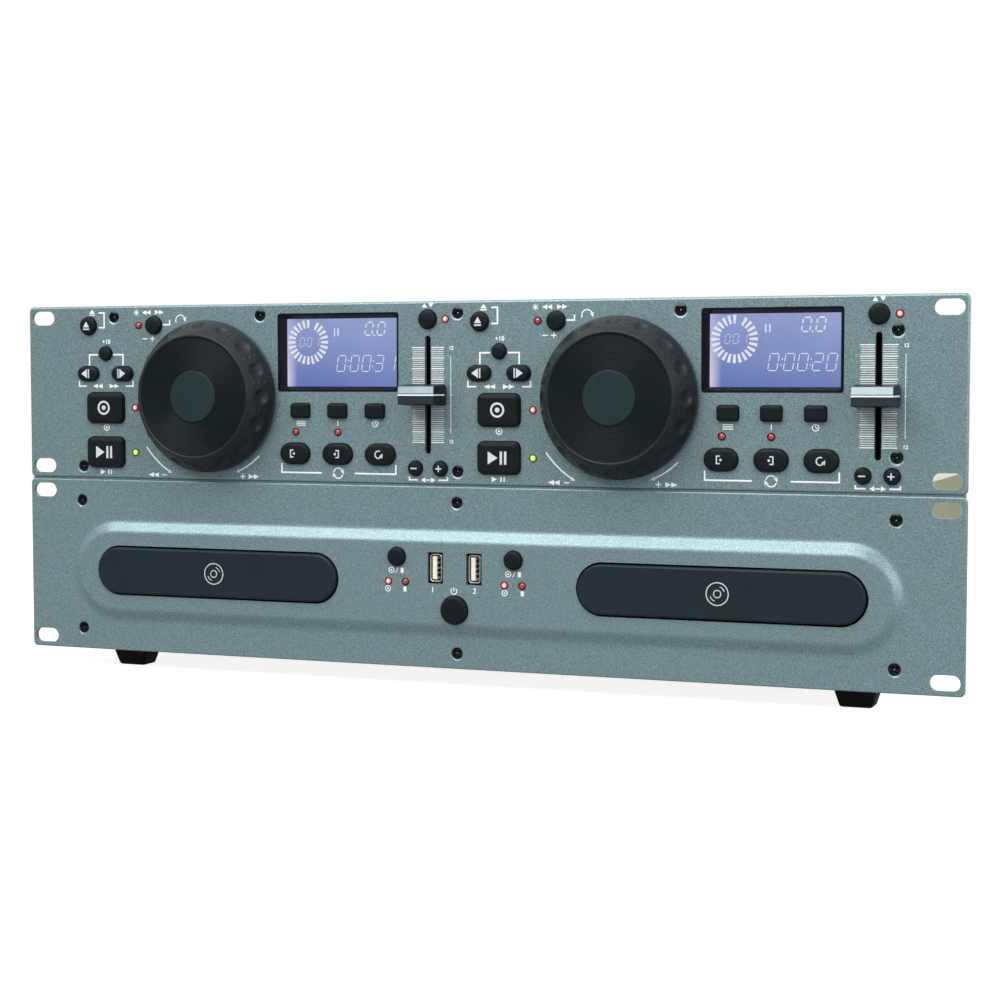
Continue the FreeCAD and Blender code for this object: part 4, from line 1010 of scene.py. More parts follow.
# How much of the room inside a key's edge its crown takes, and in how many rings.
ROUND_CROWN = (0.92, 6)
LONG_CROWN = (0.8, 3)
SIGN_SINK = 0.2 * MM
SIGN_HEIGHT = 0.24 * MM
DECK_KEYS = ("eject", "jog_mode", "plus_ten", "track_back", "track_forward", "cue", "play", *SMALL_KEYS,
             "loop_in", "loop_out", "reloop", "pitch", "bend_minus", "bend_plus", "source")
KEY_SIGNS = {
    "eject": [("triangle", 0, 0.65, 2.9, 3.6, 90), ("bar", 0, -1.75, 3.6, 0.7)],
    "track_back": [("triangle", -1.3, 0, 3.4, 4.6, 180), ("bar", 1.3, 0, 0.62, 4.6)],
    "track_forward": [("triangle", 1.3, 0, 3.4, 4.6), ("bar", -1.3, 0, 0.62, 4.6)],
    "cue": [("ring", 0, 0, 3.1, 1.0), ("dot", 0, 0, 1.2)],
    "play": [("triangle", -2.3, 0, 5.0, 6.2), ("bar", 1.9, 0, 1.2, 6.2), ("bar", 4.1, 0, 1.2, 6.2)],
    "loop_in": [("path", [(0.1, 1.7), (-1.5, 1.7), (-1.5, -1.7), (0.1, -1.7)], 0.55),
                ("dot", 0.4, 0, 0.6)],
    "loop_out": [("path", [(-0.1, 1.7), (1.5, 1.7), (1.5, -1.7), (-0.1, -1.7)], 0.55),
                 ("dot", -0.4, 0, 0.6)],
    "reloop": [("arrow_arc", 0, 0, 1.75, 60, 330, 0.55)],
    "bend_minus": [("minus", 0, 0, 3.2, 0.62)],
    "bend_plus": [("plus", 0, 0, 3.2, 0.62)],
}


def crowned(mould, face, reach, crown, rings):
    """Raise a face in rings that get flatter towards its middle."""
    for number in range(rings):
        here, there = number / rings, (number + 1) / rings
        mould.step(face, reach / rings, crown * ((1 - (1 - there) ** 2) - (1 - (1 - here) ** 2)))


def key_sign(mould, rows, level, height):
    """Inlay a sign in a key's face, its foot at level."""
    before = set(mould.bm.faces)
    mould.strokes(rows)
    flat = mould.since(before)
    for part in flat:
        part.normal_update()
        if part.normal.z < 0:
            part.normal_flip()
    bmesh.ops.translate(mould.bm, vec=(0, 0, level),
                        verts=list({vert for part in flat for vert in part.verts}))
    mould.draw_out(flat, height)
    mould.mark(mould.since(before), 1)


def key_cap(node, edge, crown, finishes, ears_level=False):
    """A rubber key: crowned cap, ears behind the panel, stem and its sign."""
    low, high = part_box(node)
    key = node.split("_", 1)[1]
    across, upward = (2 * KEY_EARS, 0) if ears_level else (0, 2 * KEY_EARS)
    width = high.x - low.x - across
    height = high.z - low.z - upward
    panel = FIELD if node.endswith(("source", "power_button")) else FRONT
    proud = panel - low.y
    back = FRONT - BACK
    mould = Ink()
    if abs(width - height) < ROUND_WITHIN:
        face = mould.disc(width / 2, z=back, segments=ROUND_KEY_STEPS)
        room, crown_share, rings = width / 2 - edge, *ROUND_CROWN
    else:
        corner = BIG_CORNER if width > WIDE_KEY else SMALL_CORNER if key in SMALL_KEYS else height / 2
        steps = CORNER_STEPS if corner > SMALL_CORNER else SMALL_CORNER_STEPS
        face = mould.plate(width, height, corner, z=back, steps=steps)
        room, crown_share, rings = corner - edge, *LONG_CROWN
    face = mould.pull(face, proud - back - edge)
    mould.ease(face, edge, steps=KEY_EDGE_RINGS)
    crowned(mould, face, room * crown_share, crown, rings)
    if ears_level:
        ears = (width + across, height - across)
    else:
        ears = (width - upward, height + upward)
    mould.pull(mould.plate(*ears, KEY_EARS, z=back - EAR_THICKNESS), EAR_THICKNESS)
    stem = panel - high.y
    mould.pull(mould.disc(STEM_R, z=stem), back - stem)
    if key in KEY_SIGNS:
        key_sign(mould, KEY_SIGNS[key], proud - SIGN_SINK, crown + SIGN_HEIGHT)
    centre = middle(node)
    return mould.cast(node + "_cap", standing(centre.x, panel, centre.z), node=node, slot="key_rubber",
                      finishes=finishes)


class DISC_OT_keys(bpy.types.Operator):
    """Make the rubber keys of both decks and of the drive unit"""
    bl_idname = "disc_player.keys"
    bl_label = "Keys"

    def execute(self, context):
        colours = context.scene.disc_colours
        sizes = context.scene.disc_sizes
        rubber = moulded("key_rubber", colours.key_rubber, rough=0.42, depth=0.03 * MM)
        sign = ink("key_ink", colours.key_ink)
        for side in SIDES:
            for key in DECK_KEYS:
                edge = sizes.key_edge * (SMALL_KEY_EDGE if key in SMALL_KEYS else 1.0)
                key_cap(f"{side}_{key}", edge, sizes.key_crown, [rubber, sign])
        key_cap("power_button", sizes.key_edge, sizes.key_crown, [rubber, sign], ears_level=True)
        return {"FINISHED"}


# ---- Jog wheels --------------------------------------------------------------
JOG_RIM_R = 31.0 * MM
JOG_DISC_R = 29.5 * MM
JOG_CAP_R = 12.6 * MM
CAP_MOAT = 0.1 * MM
JOG_SKIRT_H = 3.0 * MM
JOG_WALL = 2.5 * MM
JOG_HUB_R = 9.0 * MM
JOG_BORE_R = 4.05 * MM
JOG_BORE_REACH = 12.05 * MM
JOG_DISC_DROP = 0.6 * MM
GRIP_COUNT = 16
GRIP_R = 4.3 * MM
NUB_R = 0.85 * MM
NUB_ROWS = (-3.1 * MM, 0.0, 3.1 * MM)
FLANK_ROWS = 36
FLANK_STEPS = 448
FLANK_SWELL = 0.5 * MM
JOG_STEPS = 160
CAP_STEPS = 128
SKIRT_EASE = 0.3 * MM
# (radius, z) points, the radius from the cap's or the rim's edge and z from the wheel's top.
CAP_EDGE = ((-0.5 * MM, 0.0), (-0.15 * MM, -0.12 * MM), (0.0, -0.4 * MM))
RIM_INNER = ((0.25 * MM, -0.15 * MM), (0.6 * MM, 0.0))
RIM_OUTER = ((-0.6 * MM, 0.0), (-0.2 * MM, -0.15 * MM), (0.0, -0.5 * MM))
GROOVES_FROM = 0.6 * MM
GROOVES_ROOM = 1.0 * MM
GROOVE_BOTTOM = 0.3
GROOVE_END = 0.6


def smooth_bowl(share):
    """1 in the middle, 0 at the rim, level at both."""
    return (1 - share ** 3) ** 2 if share < 1 else 0.0


def jog_flank(mould, outer, top, depth, nub):
    """Sloping grip with its row of finger dimples and the nubs between them."""
    slope = Vector((outer - JOG_RIM_R, JOG_SKIRT_H - top))
    run = slope.length
    out = Vector((-slope.y, slope.x)) / run
    profile = []
    for number in range(FLANK_ROWS + 1):
        share = number / FLANK_ROWS
        swell = FLANK_SWELL * math.sin(math.pi * share)
        profile.append((JOG_RIM_R + slope.x * share + out.x * swell, top + slope.y * share + out.y * swell))
    faces = mould.spin(profile, steps=FLANK_STEPS)
    mid_r = (JOG_RIM_R + outer) / 2
    pitch = math.tau / GRIP_COUNT
    for vert in {vert for face in faces for vert in face.verts}:
        radius = math.hypot(vert.co.x, vert.co.y)
        angle = math.atan2(vert.co.y, vert.co.x)
        along = (vert.co.z - top) / slope.y * run - run / 2
        turn = (angle / pitch + 0.5) % 1.0 - 0.5
        gap = (angle / pitch) % 1.0 - 0.5
        push = -depth * smooth_bowl(math.hypot(turn * pitch * mid_r, along) / GRIP_R)
        for row in NUB_ROWS:
            push += nub * smooth_bowl(math.hypot(gap * pitch * mid_r, along - row) / NUB_R)
        vert.co.x += math.cos(angle) * out.x * push
        vert.co.y += math.sin(angle) * out.x * push
        vert.co.z += out.y * push


def jog_wheel(node, sizes, finishes):
    """Dished cup on its hub: grooved disc, smooth cap, rim, dimpled flank and straight skirt."""
    low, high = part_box(node)
    outer = (high.x - low.x) / 2
    top = high.y - low.y
    face = top - JOG_DISC_DROP
    mould = Mould()
    inner = (JOG_CAP_R + CAP_MOAT, face)
    mould.spin([(0.0, top), *((JOG_CAP_R + off, top + down) for off, down in CAP_EDGE), inner],
               steps=CAP_STEPS, material=2)
    grooves = [inner]
    for number in range(round((JOG_DISC_R - JOG_CAP_R - GROOVES_ROOM) / sizes.groove_pitch)):
        radius = JOG_CAP_R + GROOVES_FROM + number * sizes.groove_pitch
        grooves += [(radius, face),
                    (radius + sizes.groove_pitch * GROOVE_BOTTOM, face - sizes.groove_depth),
                    (radius + sizes.groove_pitch * GROOVE_END, face)]
    mould.spin([*grooves, (JOG_DISC_R, face)], steps=JOG_STEPS, material=1)
    rim = [(JOG_DISC_R, face), *((JOG_DISC_R + off, top + down) for off, down in RIM_INNER),
           *((JOG_RIM_R + off, top + down) for off, down in RIM_OUTER)]
    mould.spin(rim, steps=JOG_STEPS)
    jog_flank(mould, outer, rim[-1][1], sizes.dimple_depth, sizes.nub_height)
    roof = top - JOG_WALL
    bore = high.y - FRONT + JOG_BORE_REACH
    inside = [(outer, JOG_SKIRT_H), (outer, SKIRT_EASE), (outer - SKIRT_EASE, 0.0), (outer - JOG_WALL, 0.0),
              (outer - JOG_WALL, JOG_SKIRT_H), (JOG_RIM_R - JOG_WALL, roof), (JOG_HUB_R, roof),
              (JOG_HUB_R, 0.0), (JOG_BORE_R, 0.0), (JOG_BORE_R, bore), (0.0, bore)]
    mould.spin(inside, steps=JOG_STEPS)
    centre = middle(node)
    return mould.cast(node + "_shell", standing(centre.x, high.y, centre.z), node=node,
                      slot="jog_plastic", finishes=finishes, sharp=50.0)


class DISC_OT_jog_wheels(bpy.types.Operator):
    """Make the two jog wheels"""
    bl_idname = "disc_player.jog_wheels"
    bl_label = "Jog wheels"

    def execute(self, context):
        colours = context.scene.disc_colours
        finishes = [moulded("jog_flank", colours.jog_flank, rough=0.36, size=0.9 * MM, depth=0.03 * MM,
                            specular=0.26),
                    moulded("jog_disc", colours.jog_disc, rough=0.42, depth=0.01 * MM),
                    moulded("jog_cap", colours.jog_cap, rough=0.34, depth=0.01 * MM)]
        for side in SIDES:
            jog_wheel(side + "_jog_wheel", context.scene.disc_sizes, finishes)
        return {"FINISHED"}


# ---- Displays ----------------------------------------------------------------
DISPLAY_DEPTH = 9.0 * MM
DISPLAY_LIP = 1.2 * MM
DISPLAY_CORNER = 1.5 * MM
MODULE_CORNER = 3.95 * MM
GLASS_INSET = 2.62 * MM
GLASS_SINK = 3.6 * MM
SEGMENTS = {"0": "abcdef", "1": "bc", "2": "abged", "3": "abgcd"}
SEGMENT_GAP = 0.25
SLANT = 0.16
# The dial's place and radius, and a bar's half turn in degrees and its length.
DIAL = (26.5, 24.9, 9.0)
DIAL_BARS = 24
DIAL_GAP = 1
DIAL_BAR = (4.1, 4.0)
# Each figure and its left end, then the foot, width, height and stroke that a group shares.
TRACK_FIGURES = (("0", 21.7), ("0", 25.6), ("1", 29.5))
TRACK_SIZE = (22.8, 2.4, 4.3, 0.26)
PAUSE_BARS = (("bar", 41.0, 29.7, 0.62, 3.9), ("bar", 42.9, 29.7, 0.62, 3.9))
PITCH_FIGURES = (("0", 57.4), ("0", 63.9))
PITCH_SIZE = (28.1, 3.8, 6.3, 0.66)
PITCH_POINT = (62.5, 28.1, 0.42)
TIME_PLACES = (42.0, 49.2, 55.5, 62.3, 68.7)
TIME_SIZE = (10.5, 4.2, 7.7, 0.42)
COLON_XS = (47.9, 61.2)
COLON_YS = (12.9, 15.7)
COLON_R = 0.34
SHOWN = {"left": "00031", "right": "00020"}
FIGURE_THICKNESS = 0.05 * MM
DISPLAY_BORDER = 0.9 * MM
BORDER_CORNER = 2.0 * MM
BORDER_INK = 0.05 * MM
LIP_STEP = (0.25 * MM, 0.5 * MM)


def digit(drawing, figure, x, y, width, height, stroke):
    """One seven-segment figure with a gap at each corner; x, y is its lower left."""
    short = stroke * 1.5 + SEGMENT_GAP
    half = height / 2
    lying = (width - short, stroke)
    upright = (stroke, half - short)
    bars = {
        "a": (width / 2, height, *lying), "g": (width / 2, half, *lying), "d": (width / 2, 0, *lying),
        "f": (0, half * 1.5, *upright), "b": (width, half * 1.5, *upright),
        "e": (0, half * 0.5, *upright), "c": (width, half * 0.5, *upright),
    }
    before = set(drawing.bm.verts)
    for name in SEGMENTS[figure]:
        across, up, wide, tall = bars[name]
        drawing.bar(x + across, y + up, wide, tall)
    for vert in drawing.bm.verts:
        if vert not in before:
            vert.co.x += (vert.co.y - y * MM) * SLANT


def display_figures(drawing, time):
    """What a display shows, from the deck's middle: dial, track, pause, pitch and time."""
    x, y, radius = DIAL
    half_turn, long = DIAL_BAR
    for number in range(DIAL_BARS):
        if number != DIAL_GAP:
            angle = 90 - 360 * number / DIAL_BARS
            drawing.arc(x, y, radius, angle - half_turn, angle + half_turn, long, 2)
    for figure, x in TRACK_FIGURES:
        digit(drawing, figure, x, *TRACK_SIZE)
    drawing.strokes(PAUSE_BARS)
    for figure, x in PITCH_FIGURES:
        digit(drawing, figure, x, *PITCH_SIZE)
    drawing.dot(*PITCH_POINT)
    for figure, x in zip(time, TIME_PLACES):
        digit(drawing, figure, x, *TIME_SIZE)
    for x in COLON_XS:
        for y in COLON_YS:
            drawing.dot(x + (y - TIME_SIZE[0]) * SLANT, y, COLON_R)


class DISC_OT_displays(bpy.types.Operator):
    """Make the two display modules and their windows"""
    bl_idname = "disc_player.displays"
    bl_label = "Displays"

    def execute(self, context):
        colours = context.scene.disc_colours
        low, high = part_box("display_modules")
        centre = middle("display_modules")
        width = high.x - low.x - 2 * HALF_PITCH
        height = high.z - low.z
        inset = DISPLAY_LIP + GLASS_INSET
        reach = (width - 2 * inset, height - 2 * inset)
        step_in, step_down = LIP_STEP
        black = moulded("display_frame", tone(14, 18, 22), rough=0.16, depth=0.004 * MM, specular=0.2)
        lit = display_segment("display_segment")
        for side, time in SHOWN.items():
            deck = SIDES[side] * HALF_PITCH
            x = deck + centre.x
            mould = Mould()
            face = mould.plate(width, height, MODULE_CORNER, z=-DISPLAY_DEPTH)
            face = mould.pull(face, DISPLAY_DEPTH)
            mould.step(face, DISPLAY_LIP)
            mould.step(face, step_in, -step_down)
            mould.step(face, GLASS_INSET - step_in, step_down - GLASS_SINK)
            face.material_index = 1
            glow = display_glow(side + "_display_glow", (x - reach[0] / 2, centre.z - reach[1] / 2), reach,
                                colours.display_low, colours.display_high)
            mould.cast(side + "_display", standing(x, BACK, centre.z), node="display_modules",
                       slot="display_frame", finishes=[black, glow], sharp=20.0)
            figures = Ink()
            display_figures(figures, time)
            figures.printed(side + "_display_figures", standing(deck, BACK + GLASS_SINK, CONTROL_MID),
                            "housing", FIGURE_THICKNESS, "display_frame", [lit])
        glass = clear_window("window")
        low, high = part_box("display_windows")
        centre = middle("display_windows")
        wide, tall = high.x - low.x - 2 * HALF_PITCH, high.z - low.z
        inner_wide, inner_tall = wide - 2 * DISPLAY_BORDER, tall - 2 * DISPLAY_BORDER
        y = centre.z - CONTROL_MID
        face, back = FRONT - low.y - BORDER_INK, FRONT - high.y
        windows = Mould()
        for way in SIDES.values():
            x = way * HALF_PITCH + centre.x
            windows.pull(windows.plate(wide, tall, DISPLAY_CORNER, x, y, back), face - back)
            loops = [windows.plate(wide, tall, DISPLAY_CORNER, x, y, face),
                     windows.plate(inner_wide, inner_tall, BORDER_CORNER, x, y, face + BORDER_INK / 2)]
            windows.pull_all(windows.bridge(loops, material=1), BORDER_INK / 2)
        windows.cast("display_windows_clear", standing(0.0, FRONT, CONTROL_MID), node="display_windows",
                     slot="window", finishes=[glass, black])
        return {"FINISHED"}


# ---- Pitch faders ------------------------------------------------------------
FADER_LIFT = 1.2 * MM
FADER_TAPER = 0.8 * MM
FADER_CORNER = 1.5 * MM
FADER_SHOULDER = 2.2 * MM
FADER_LINE = 0.75 * MM
FADER_GROOVE = 0.3 * MM
FADER_FOIL = 1.0 * MM
FADER_TILT = 0.68 * MM
FADER_SLOT_W = 2.4 * MM
FADER_FOOT = (6.4 * MM, 7.0 * MM, 3.0 * MM)
FADER_FOOT_DEPTH = 9.0 * MM
FADER_EASE = 0.1 * MM
FOIL_EASE = 0.12 * MM
LINE_PROUD = 0.05 * MM


class DISC_OT_faders(bpy.types.Operator):
    """Make the pitch fader caps"""
    bl_idname = "disc_player.faders"
    bl_label = "Pitch faders"

    def execute(self, context):
        chrome = metal("fader_chrome", context.scene.disc_colours.chrome, rough=0.38, size=6 * MM)
        dark = moulded("fader_plastic", tone(18, 20, 22), rough=0.32)
        smoke = metal("fader_smoke", tone(60, 73, 74), rough=0.2, size=6 * MM)
        line = ink("fader_line", tone(245, 247, 247))
        for side in SIDES:
            node = side + "_pitch_fader"
            low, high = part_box(node)
            width = high.x - low.x
            height = high.z - low.z
            rise = FRONT - FADER_LIFT - low.y
            back = FRONT - FADER_LIFT - BACK
            wide = width - 2 * FADER_TAPER
            tall = height - 2 * FADER_TAPER
            mould = Mould()
            face = mould.plate(width, height, FADER_CORNER)
            face = mould.pull(face, FADER_SHOULDER)
            mould.step(face, FADER_TAPER - FADER_EASE, rise - FADER_SHOULDER - FADER_FOIL - FADER_EASE)
            mould.step(face, FADER_EASE, FADER_EASE)
            foot_w, foot_h, foot_d = FADER_FOOT
            mould.pull(mould.plate(foot_w, foot_h, z=back - FADER_FOOT_DEPTH), foot_d)
            mould.pull(mould.plate(FADER_SLOT_W, foot_h, z=back - FADER_FOOT_DEPTH + foot_d),
                       FADER_FOOT_DEPTH - foot_d - back)
            facet = (tall - FADER_LINE) / 2 - FADER_GROOVE
            for way, finish in ((1, 1), (-1, 2)):
                y = way * (FADER_LINE / 2 + FADER_GROOVE + facet / 2)
                foil = mould.plate(wide, facet, y=y, z=rise - FADER_FOIL, material=finish)
                foil = mould.pull(foil, FADER_FOIL - FOIL_EASE)
                mould.step(foil, FOIL_EASE, FOIL_EASE)
                outer = [vert for vert in foil.verts if (vert.co.y - y) * way > 0]
                bmesh.ops.translate(mould.bm, vec=(0.0, 0.0, -FADER_TILT), verts=outer)
            foot_wide, top_wide = width + FADER_EASE, wide + FADER_EASE
            stripe = mould.plate(foot_wide, FADER_LINE, z=FADER_SHOULDER, material=3)
            stripe = mould.pull(stripe, rise - FADER_SHOULDER - LINE_PROUD)
            bmesh.ops.scale(mould.bm, vec=(top_wide / foot_wide, 1.0, 1.0), verts=stripe.verts[:])
            centre = middle(node)
            mould.cast(side + "_fader_cap", standing(centre.x, FRONT - FADER_LIFT, centre.z), node=node,
                       slot="fader_plastic", finishes=[dark, chrome, smoke, line])
        return {"FINISHED"}


# ---- Lamps -------------------------------------------------------------------
LAMP_R = 1.5 * MM
LAMP_PROUD = 0.9 * MM
LAMP_DEPTH = 6.0 * MM
LAMP_RIM = 0.45 * MM
LAMP_RIM_H = 0.25 * MM
LAMP_RIM_GAP = 0.03 * MM
LAMP_RIM_EASE = 0.1 * MM
LAMP_COLLAR = (0.4 * MM, 2.0 * MM, 1.0 * MM)
LAMP_STEPS = 24
DOME_RINGS = 6
# A dim lamp is an unlit one; its lens is still given a faint painted glow.
DECK_LAMPS = (
    (-67.0, 34.01, "dim"), (-69.4, -7.84, "red"), (-69.4, -30.66, "green"),
    (22.33, -19.38, "dim"), (45.31, -19.38, "dim"), (102.55, 35.42, "red"),
)
DRIVE_LAMPS = ((-34.7, "red"), (-25.7, "dim"), (25.7, "red"), (34.7, "dim"))
DRIVE_LAMP_UP = -2.25
LAMP_STATES = ("red", "dim", "green")


def lamp_dome(mould, x, y, z, material, layer):
    """Lens with a domed end; its middle carries the brightest light."""
    wider, behind, thick = LAMP_COLLAR
    collar = LAMP_R + wider
    profile = [(0.0, -LAMP_DEPTH), (LAMP_R, -LAMP_DEPTH), (LAMP_R, -behind - thick),
               (collar, -behind - thick), (collar, -behind), (LAMP_R, -behind), (LAMP_R, 0.0)]
    for number in range(1, DOME_RINGS):
        angle = math.pi / 2 * number / DOME_RINGS
        profile.append((LAMP_R * math.cos(angle), LAMP_PROUD * math.sin(angle)))
    profile.append((0.0, LAMP_PROUD))
    faces = mould.spin(profile, x, y, steps=LAMP_STEPS, material=material)
    inside = LAMP_R + LAMP_RIM_GAP
    rim = LAMP_R + LAMP_RIM
    faces += mould.spin([(inside, 0.0), (inside, LAMP_RIM_H), (rim - LAMP_RIM_EASE, LAMP_RIM_H),
                         (rim, LAMP_RIM_H - LAMP_RIM_EASE), (rim, 0.0), (inside, 0.0)], x, y,
                        steps=LAMP_STEPS, material=len(LAMP_STATES))
    for vert in {vert for face in faces for vert in face.verts}:
        radius = math.hypot(vert.co.x - x, vert.co.y - y)
        vert[layer] = max(0.0, 1 - radius / LAMP_R) if vert.co.z > 0 else 0.0
        vert.co.z += z


class DISC_OT_lamps(bpy.types.Operator):
    """Make the indicator lamps"""
    bl_idname = "disc_player.lamps"
    bl_label = "Lamps"

    def execute(self, context):
        colours = context.scene.disc_colours
        red, green = colours.lamp_red, colours.lamp_green
        finishes = [lamp_lens("lamp_red_lit", red, tone(255, 226, 220), 2.4),
                    # An unlit red lamp's lens glows faintly, brightest in its middle: painted glow and
                    # highlight.
                    lamp_lens("lamp_red_dim", scaled(red, 0.5), tone(240, 96, 92), 0.5),
                    lamp_lens("lamp_green_lit", green, tone(250, 255, 170), 1.8),
                    moulded("lamp_rim", tone(24, 27, 29), rough=0.3)]
        mould = Mould()
        layer = mould.bm.verts.layers.float.new("core")
        for way in SIDES.values():
            for x, y, state in DECK_LAMPS:
                lamp_dome(mould, way * HALF_PITCH + x * MM, y * MM, 0.0, LAMP_STATES.index(state), layer)
        y = DRIVE_MID - CONTROL_MID + DRIVE_LAMP_UP * MM
        for x, state in DRIVE_LAMPS:
            lamp_dome(mould, x * MM, y, FRONT - FIELD, LAMP_STATES.index(state), layer)
        mould.cast("lamp_lenses", standing(0.0, FRONT, CONTROL_MID), node="lamps", slot="lamp",
                   finishes=finishes, sharp=60.0)
        return {"FINISHED"}


# ---- Disc trays --------------------------------------------------------------
TRAY_MARK = (
    ("ring", 0, 0.2, 5.2, 0.5),
    ("ring", 0, 0.2, 1.7, 0.45),
    ("arc", 0, 0.2, 3.5, 20, 70, 0.42),
    ("arc", 0, 0.2, 3.5, 200, 250, 0.42),
)


class DISC_OT_trays(bpy.types.Operator):
    """Finish the disc trays and the parts that turn and carry the discs"""
    bl_idname = "disc_player.trays"
    bl_label = "Disc trays"

    def execute(self, context):
        colours = context.scene.disc_colours
        plastic = moulded("tray_plastic", colours.tray_plastic, rough=0.3, size=0.6 * MM, depth=0.012 * MM)
        mark = ink("tray_mark", tone(206, 211, 213))
        hub = moulded("hub_plastic", tone(200, 202, 200), rough=0.4)
        for side in SIDES:
            node = side + "_tray"
            refined(node, node + "_moulding", "tray_plastic", [plastic], bevel=0.3 * MM, segments=3,
                    angle=28.0)
            centre = middle(node)
            emblem = Ink()
            emblem.strokes(TRAY_MARK)
            emblem.printed(node + "_mark", standing(centre.x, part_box(node)[0].y, centre.z), BODY_OF[node],
                           context.scene.disc_sizes.print_thickness, "tray_plastic", [mark])
            refined(side + "_spindle", side + "_spindle_hub", "inner_plastic", [hub], bevel=0.2 * MM)
        return {"FINISHED"}


# ---- Sockets -----------------------------------------------------------------
USB_X = 10.0 * MM
USB_UP = 4.85 * MM
USB_MOUTH = (5.12 * MM, 12.5 * MM)
USB_CORNER = 0.9 * MM
USB_WALL = 0.5 * MM
USB_END = 1.5 * MM
USB_TONGUE = (2.2 * MM, 11.1 * MM, 11.3 * MM)
USB_TONGUE_X = -0.7 * MM
USB_CONTACT = (0.25 * MM, 1.2 * MM)
USB_CONTACTS = 4
USB_CONTACT_PITCH = 2.4 * MM
USB_CONTACT_SHORT = 0.6 * MM
USB_TONGUE_EASE = 0.3 * MM
USB_ROLL = 0.15 * MM
# (share of the wall's thickness, rise) of each step over the shell's rolled mouth.
USB_ROLLED = ((0.4, USB_ROLL), (0.3, 0.0), (0.3, -USB_ROLL))
INLET_ROOM = (9.5 * MM, 4.0 * MM, 7.0 * MM)
INLET_LIP = 2.0 * MM


def usb_socket(mould, x, y, mouth, depth):
    """Steel shell round a pale tongue with four contacts, open to the front."""
    end = mouth - depth
    wide, tall = USB_MOUTH
    face = mould.plate(wide + 2 * USB_WALL, tall + 2 * USB_WALL, USB_CORNER + USB_WALL, x, y, end)
    face = mould.pull(face, depth - USB_ROLL)
    for share, rise in USB_ROLLED:
        mould.step(face, USB_WALL * share, rise)
    floor = mould.step(face, NEAR, USB_END - depth + USB_ROLL)
    # The back wall inside the shell is black: painted shade deep in the mouth.
    floor.material_index = 1
    wide, tall, long = USB_TONGUE
    tongue = mould.plate(wide, tall, 0.0, x + USB_TONGUE_X, y, end + USB_END, material=2)
    tongue = mould.pull(tongue, long)
    mould.ease(tongue, USB_TONGUE_EASE, steps=2)
    for number in range(USB_CONTACTS):
        row = y + (number - (USB_CONTACTS - 1) / 2) * USB_CONTACT_PITCH
        contact = mould.plate(*USB_CONTACT, 0.0, x + USB_TONGUE_X + wide / 2, row, end + USB_END, material=3)
        mould.pull(contact, long - USB_CONTACT_SHORT)


class DISC_OT_sockets(bpy.types.Operator):
    """Make the sockets on the front and the rear"""
    bl_idname = "disc_player.sockets"
    bl_label = "Sockets"

    def execute(self, context):
        steel = metal("bright_steel", tone(208, 206, 196), rough=0.28)
        black = moulded("socket_black", tone(20, 21, 23), rough=0.4)
        tongue = moulded("socket_tongue", tone(238, 236, 222), rough=0.45)
        brass = metal("socket_brass", tone(122, 122, 82), rough=0.3)
        usb_low, usb_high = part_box("usb_sockets")
        mould = Mould()
        for way in SIDES.values():
            usb_socket(mould, way * USB_X, USB_UP, FIELD - usb_low.y, usb_high.y - usb_low.y)
        mould.cast("usb_shells", standing(0.0, FIELD, DRIVE_MID), node="usb_sockets", slot="bright_steel",
                   finishes=[steel, black, tongue, brass])
        inlet_low, inlet_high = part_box("mains_inlet")
        inlet_mid = middle("mains_inlet")
        room_x, room_y, room_z = INLET_ROOM

        def blade_or_body(centre, normal):
            inside = abs(centre.x - inlet_mid.x) < room_x and abs(centre.z - inlet_mid.z) < room_z
            return 1 if inside and inlet_low.y + room_y < centre.y < inlet_high.y - INLET_LIP else 0

        refined("mains_inlet", "mains_inlet_socket", "inner_plastic", [black, steel], bevel=0.25 * MM,
                choose=blade_or_body)
        return {"FINISHED"}


# ---- Inner parts -------------------------------------------------------------
BOARD_FACE = -96.50 * MM
BOARD_T = 1.6 * MM
BOARD_TOP = 24.30 * MM
SOCKET_Z = 49.50 * MM
SOCKET_DEPTH = 17.7 * MM
LINK_PROUD = 0.6 * MM
JACK_X = 110.00 * MM
JACK_PITCH = Vector((17.0, 15.0)) * MM
COLLAR_STEPS = 40
# (radius, height) profile of the ring round each jack.
COLLAR = [(4.2 * MM, 0.0), (4.2 * MM, 0.7 * MM), (5.1 * MM, 0.7 * MM), (5.4 * MM, 0.4 * MM), (5.4 * MM, 0.0),
          (4.2 * MM, 0.0)]


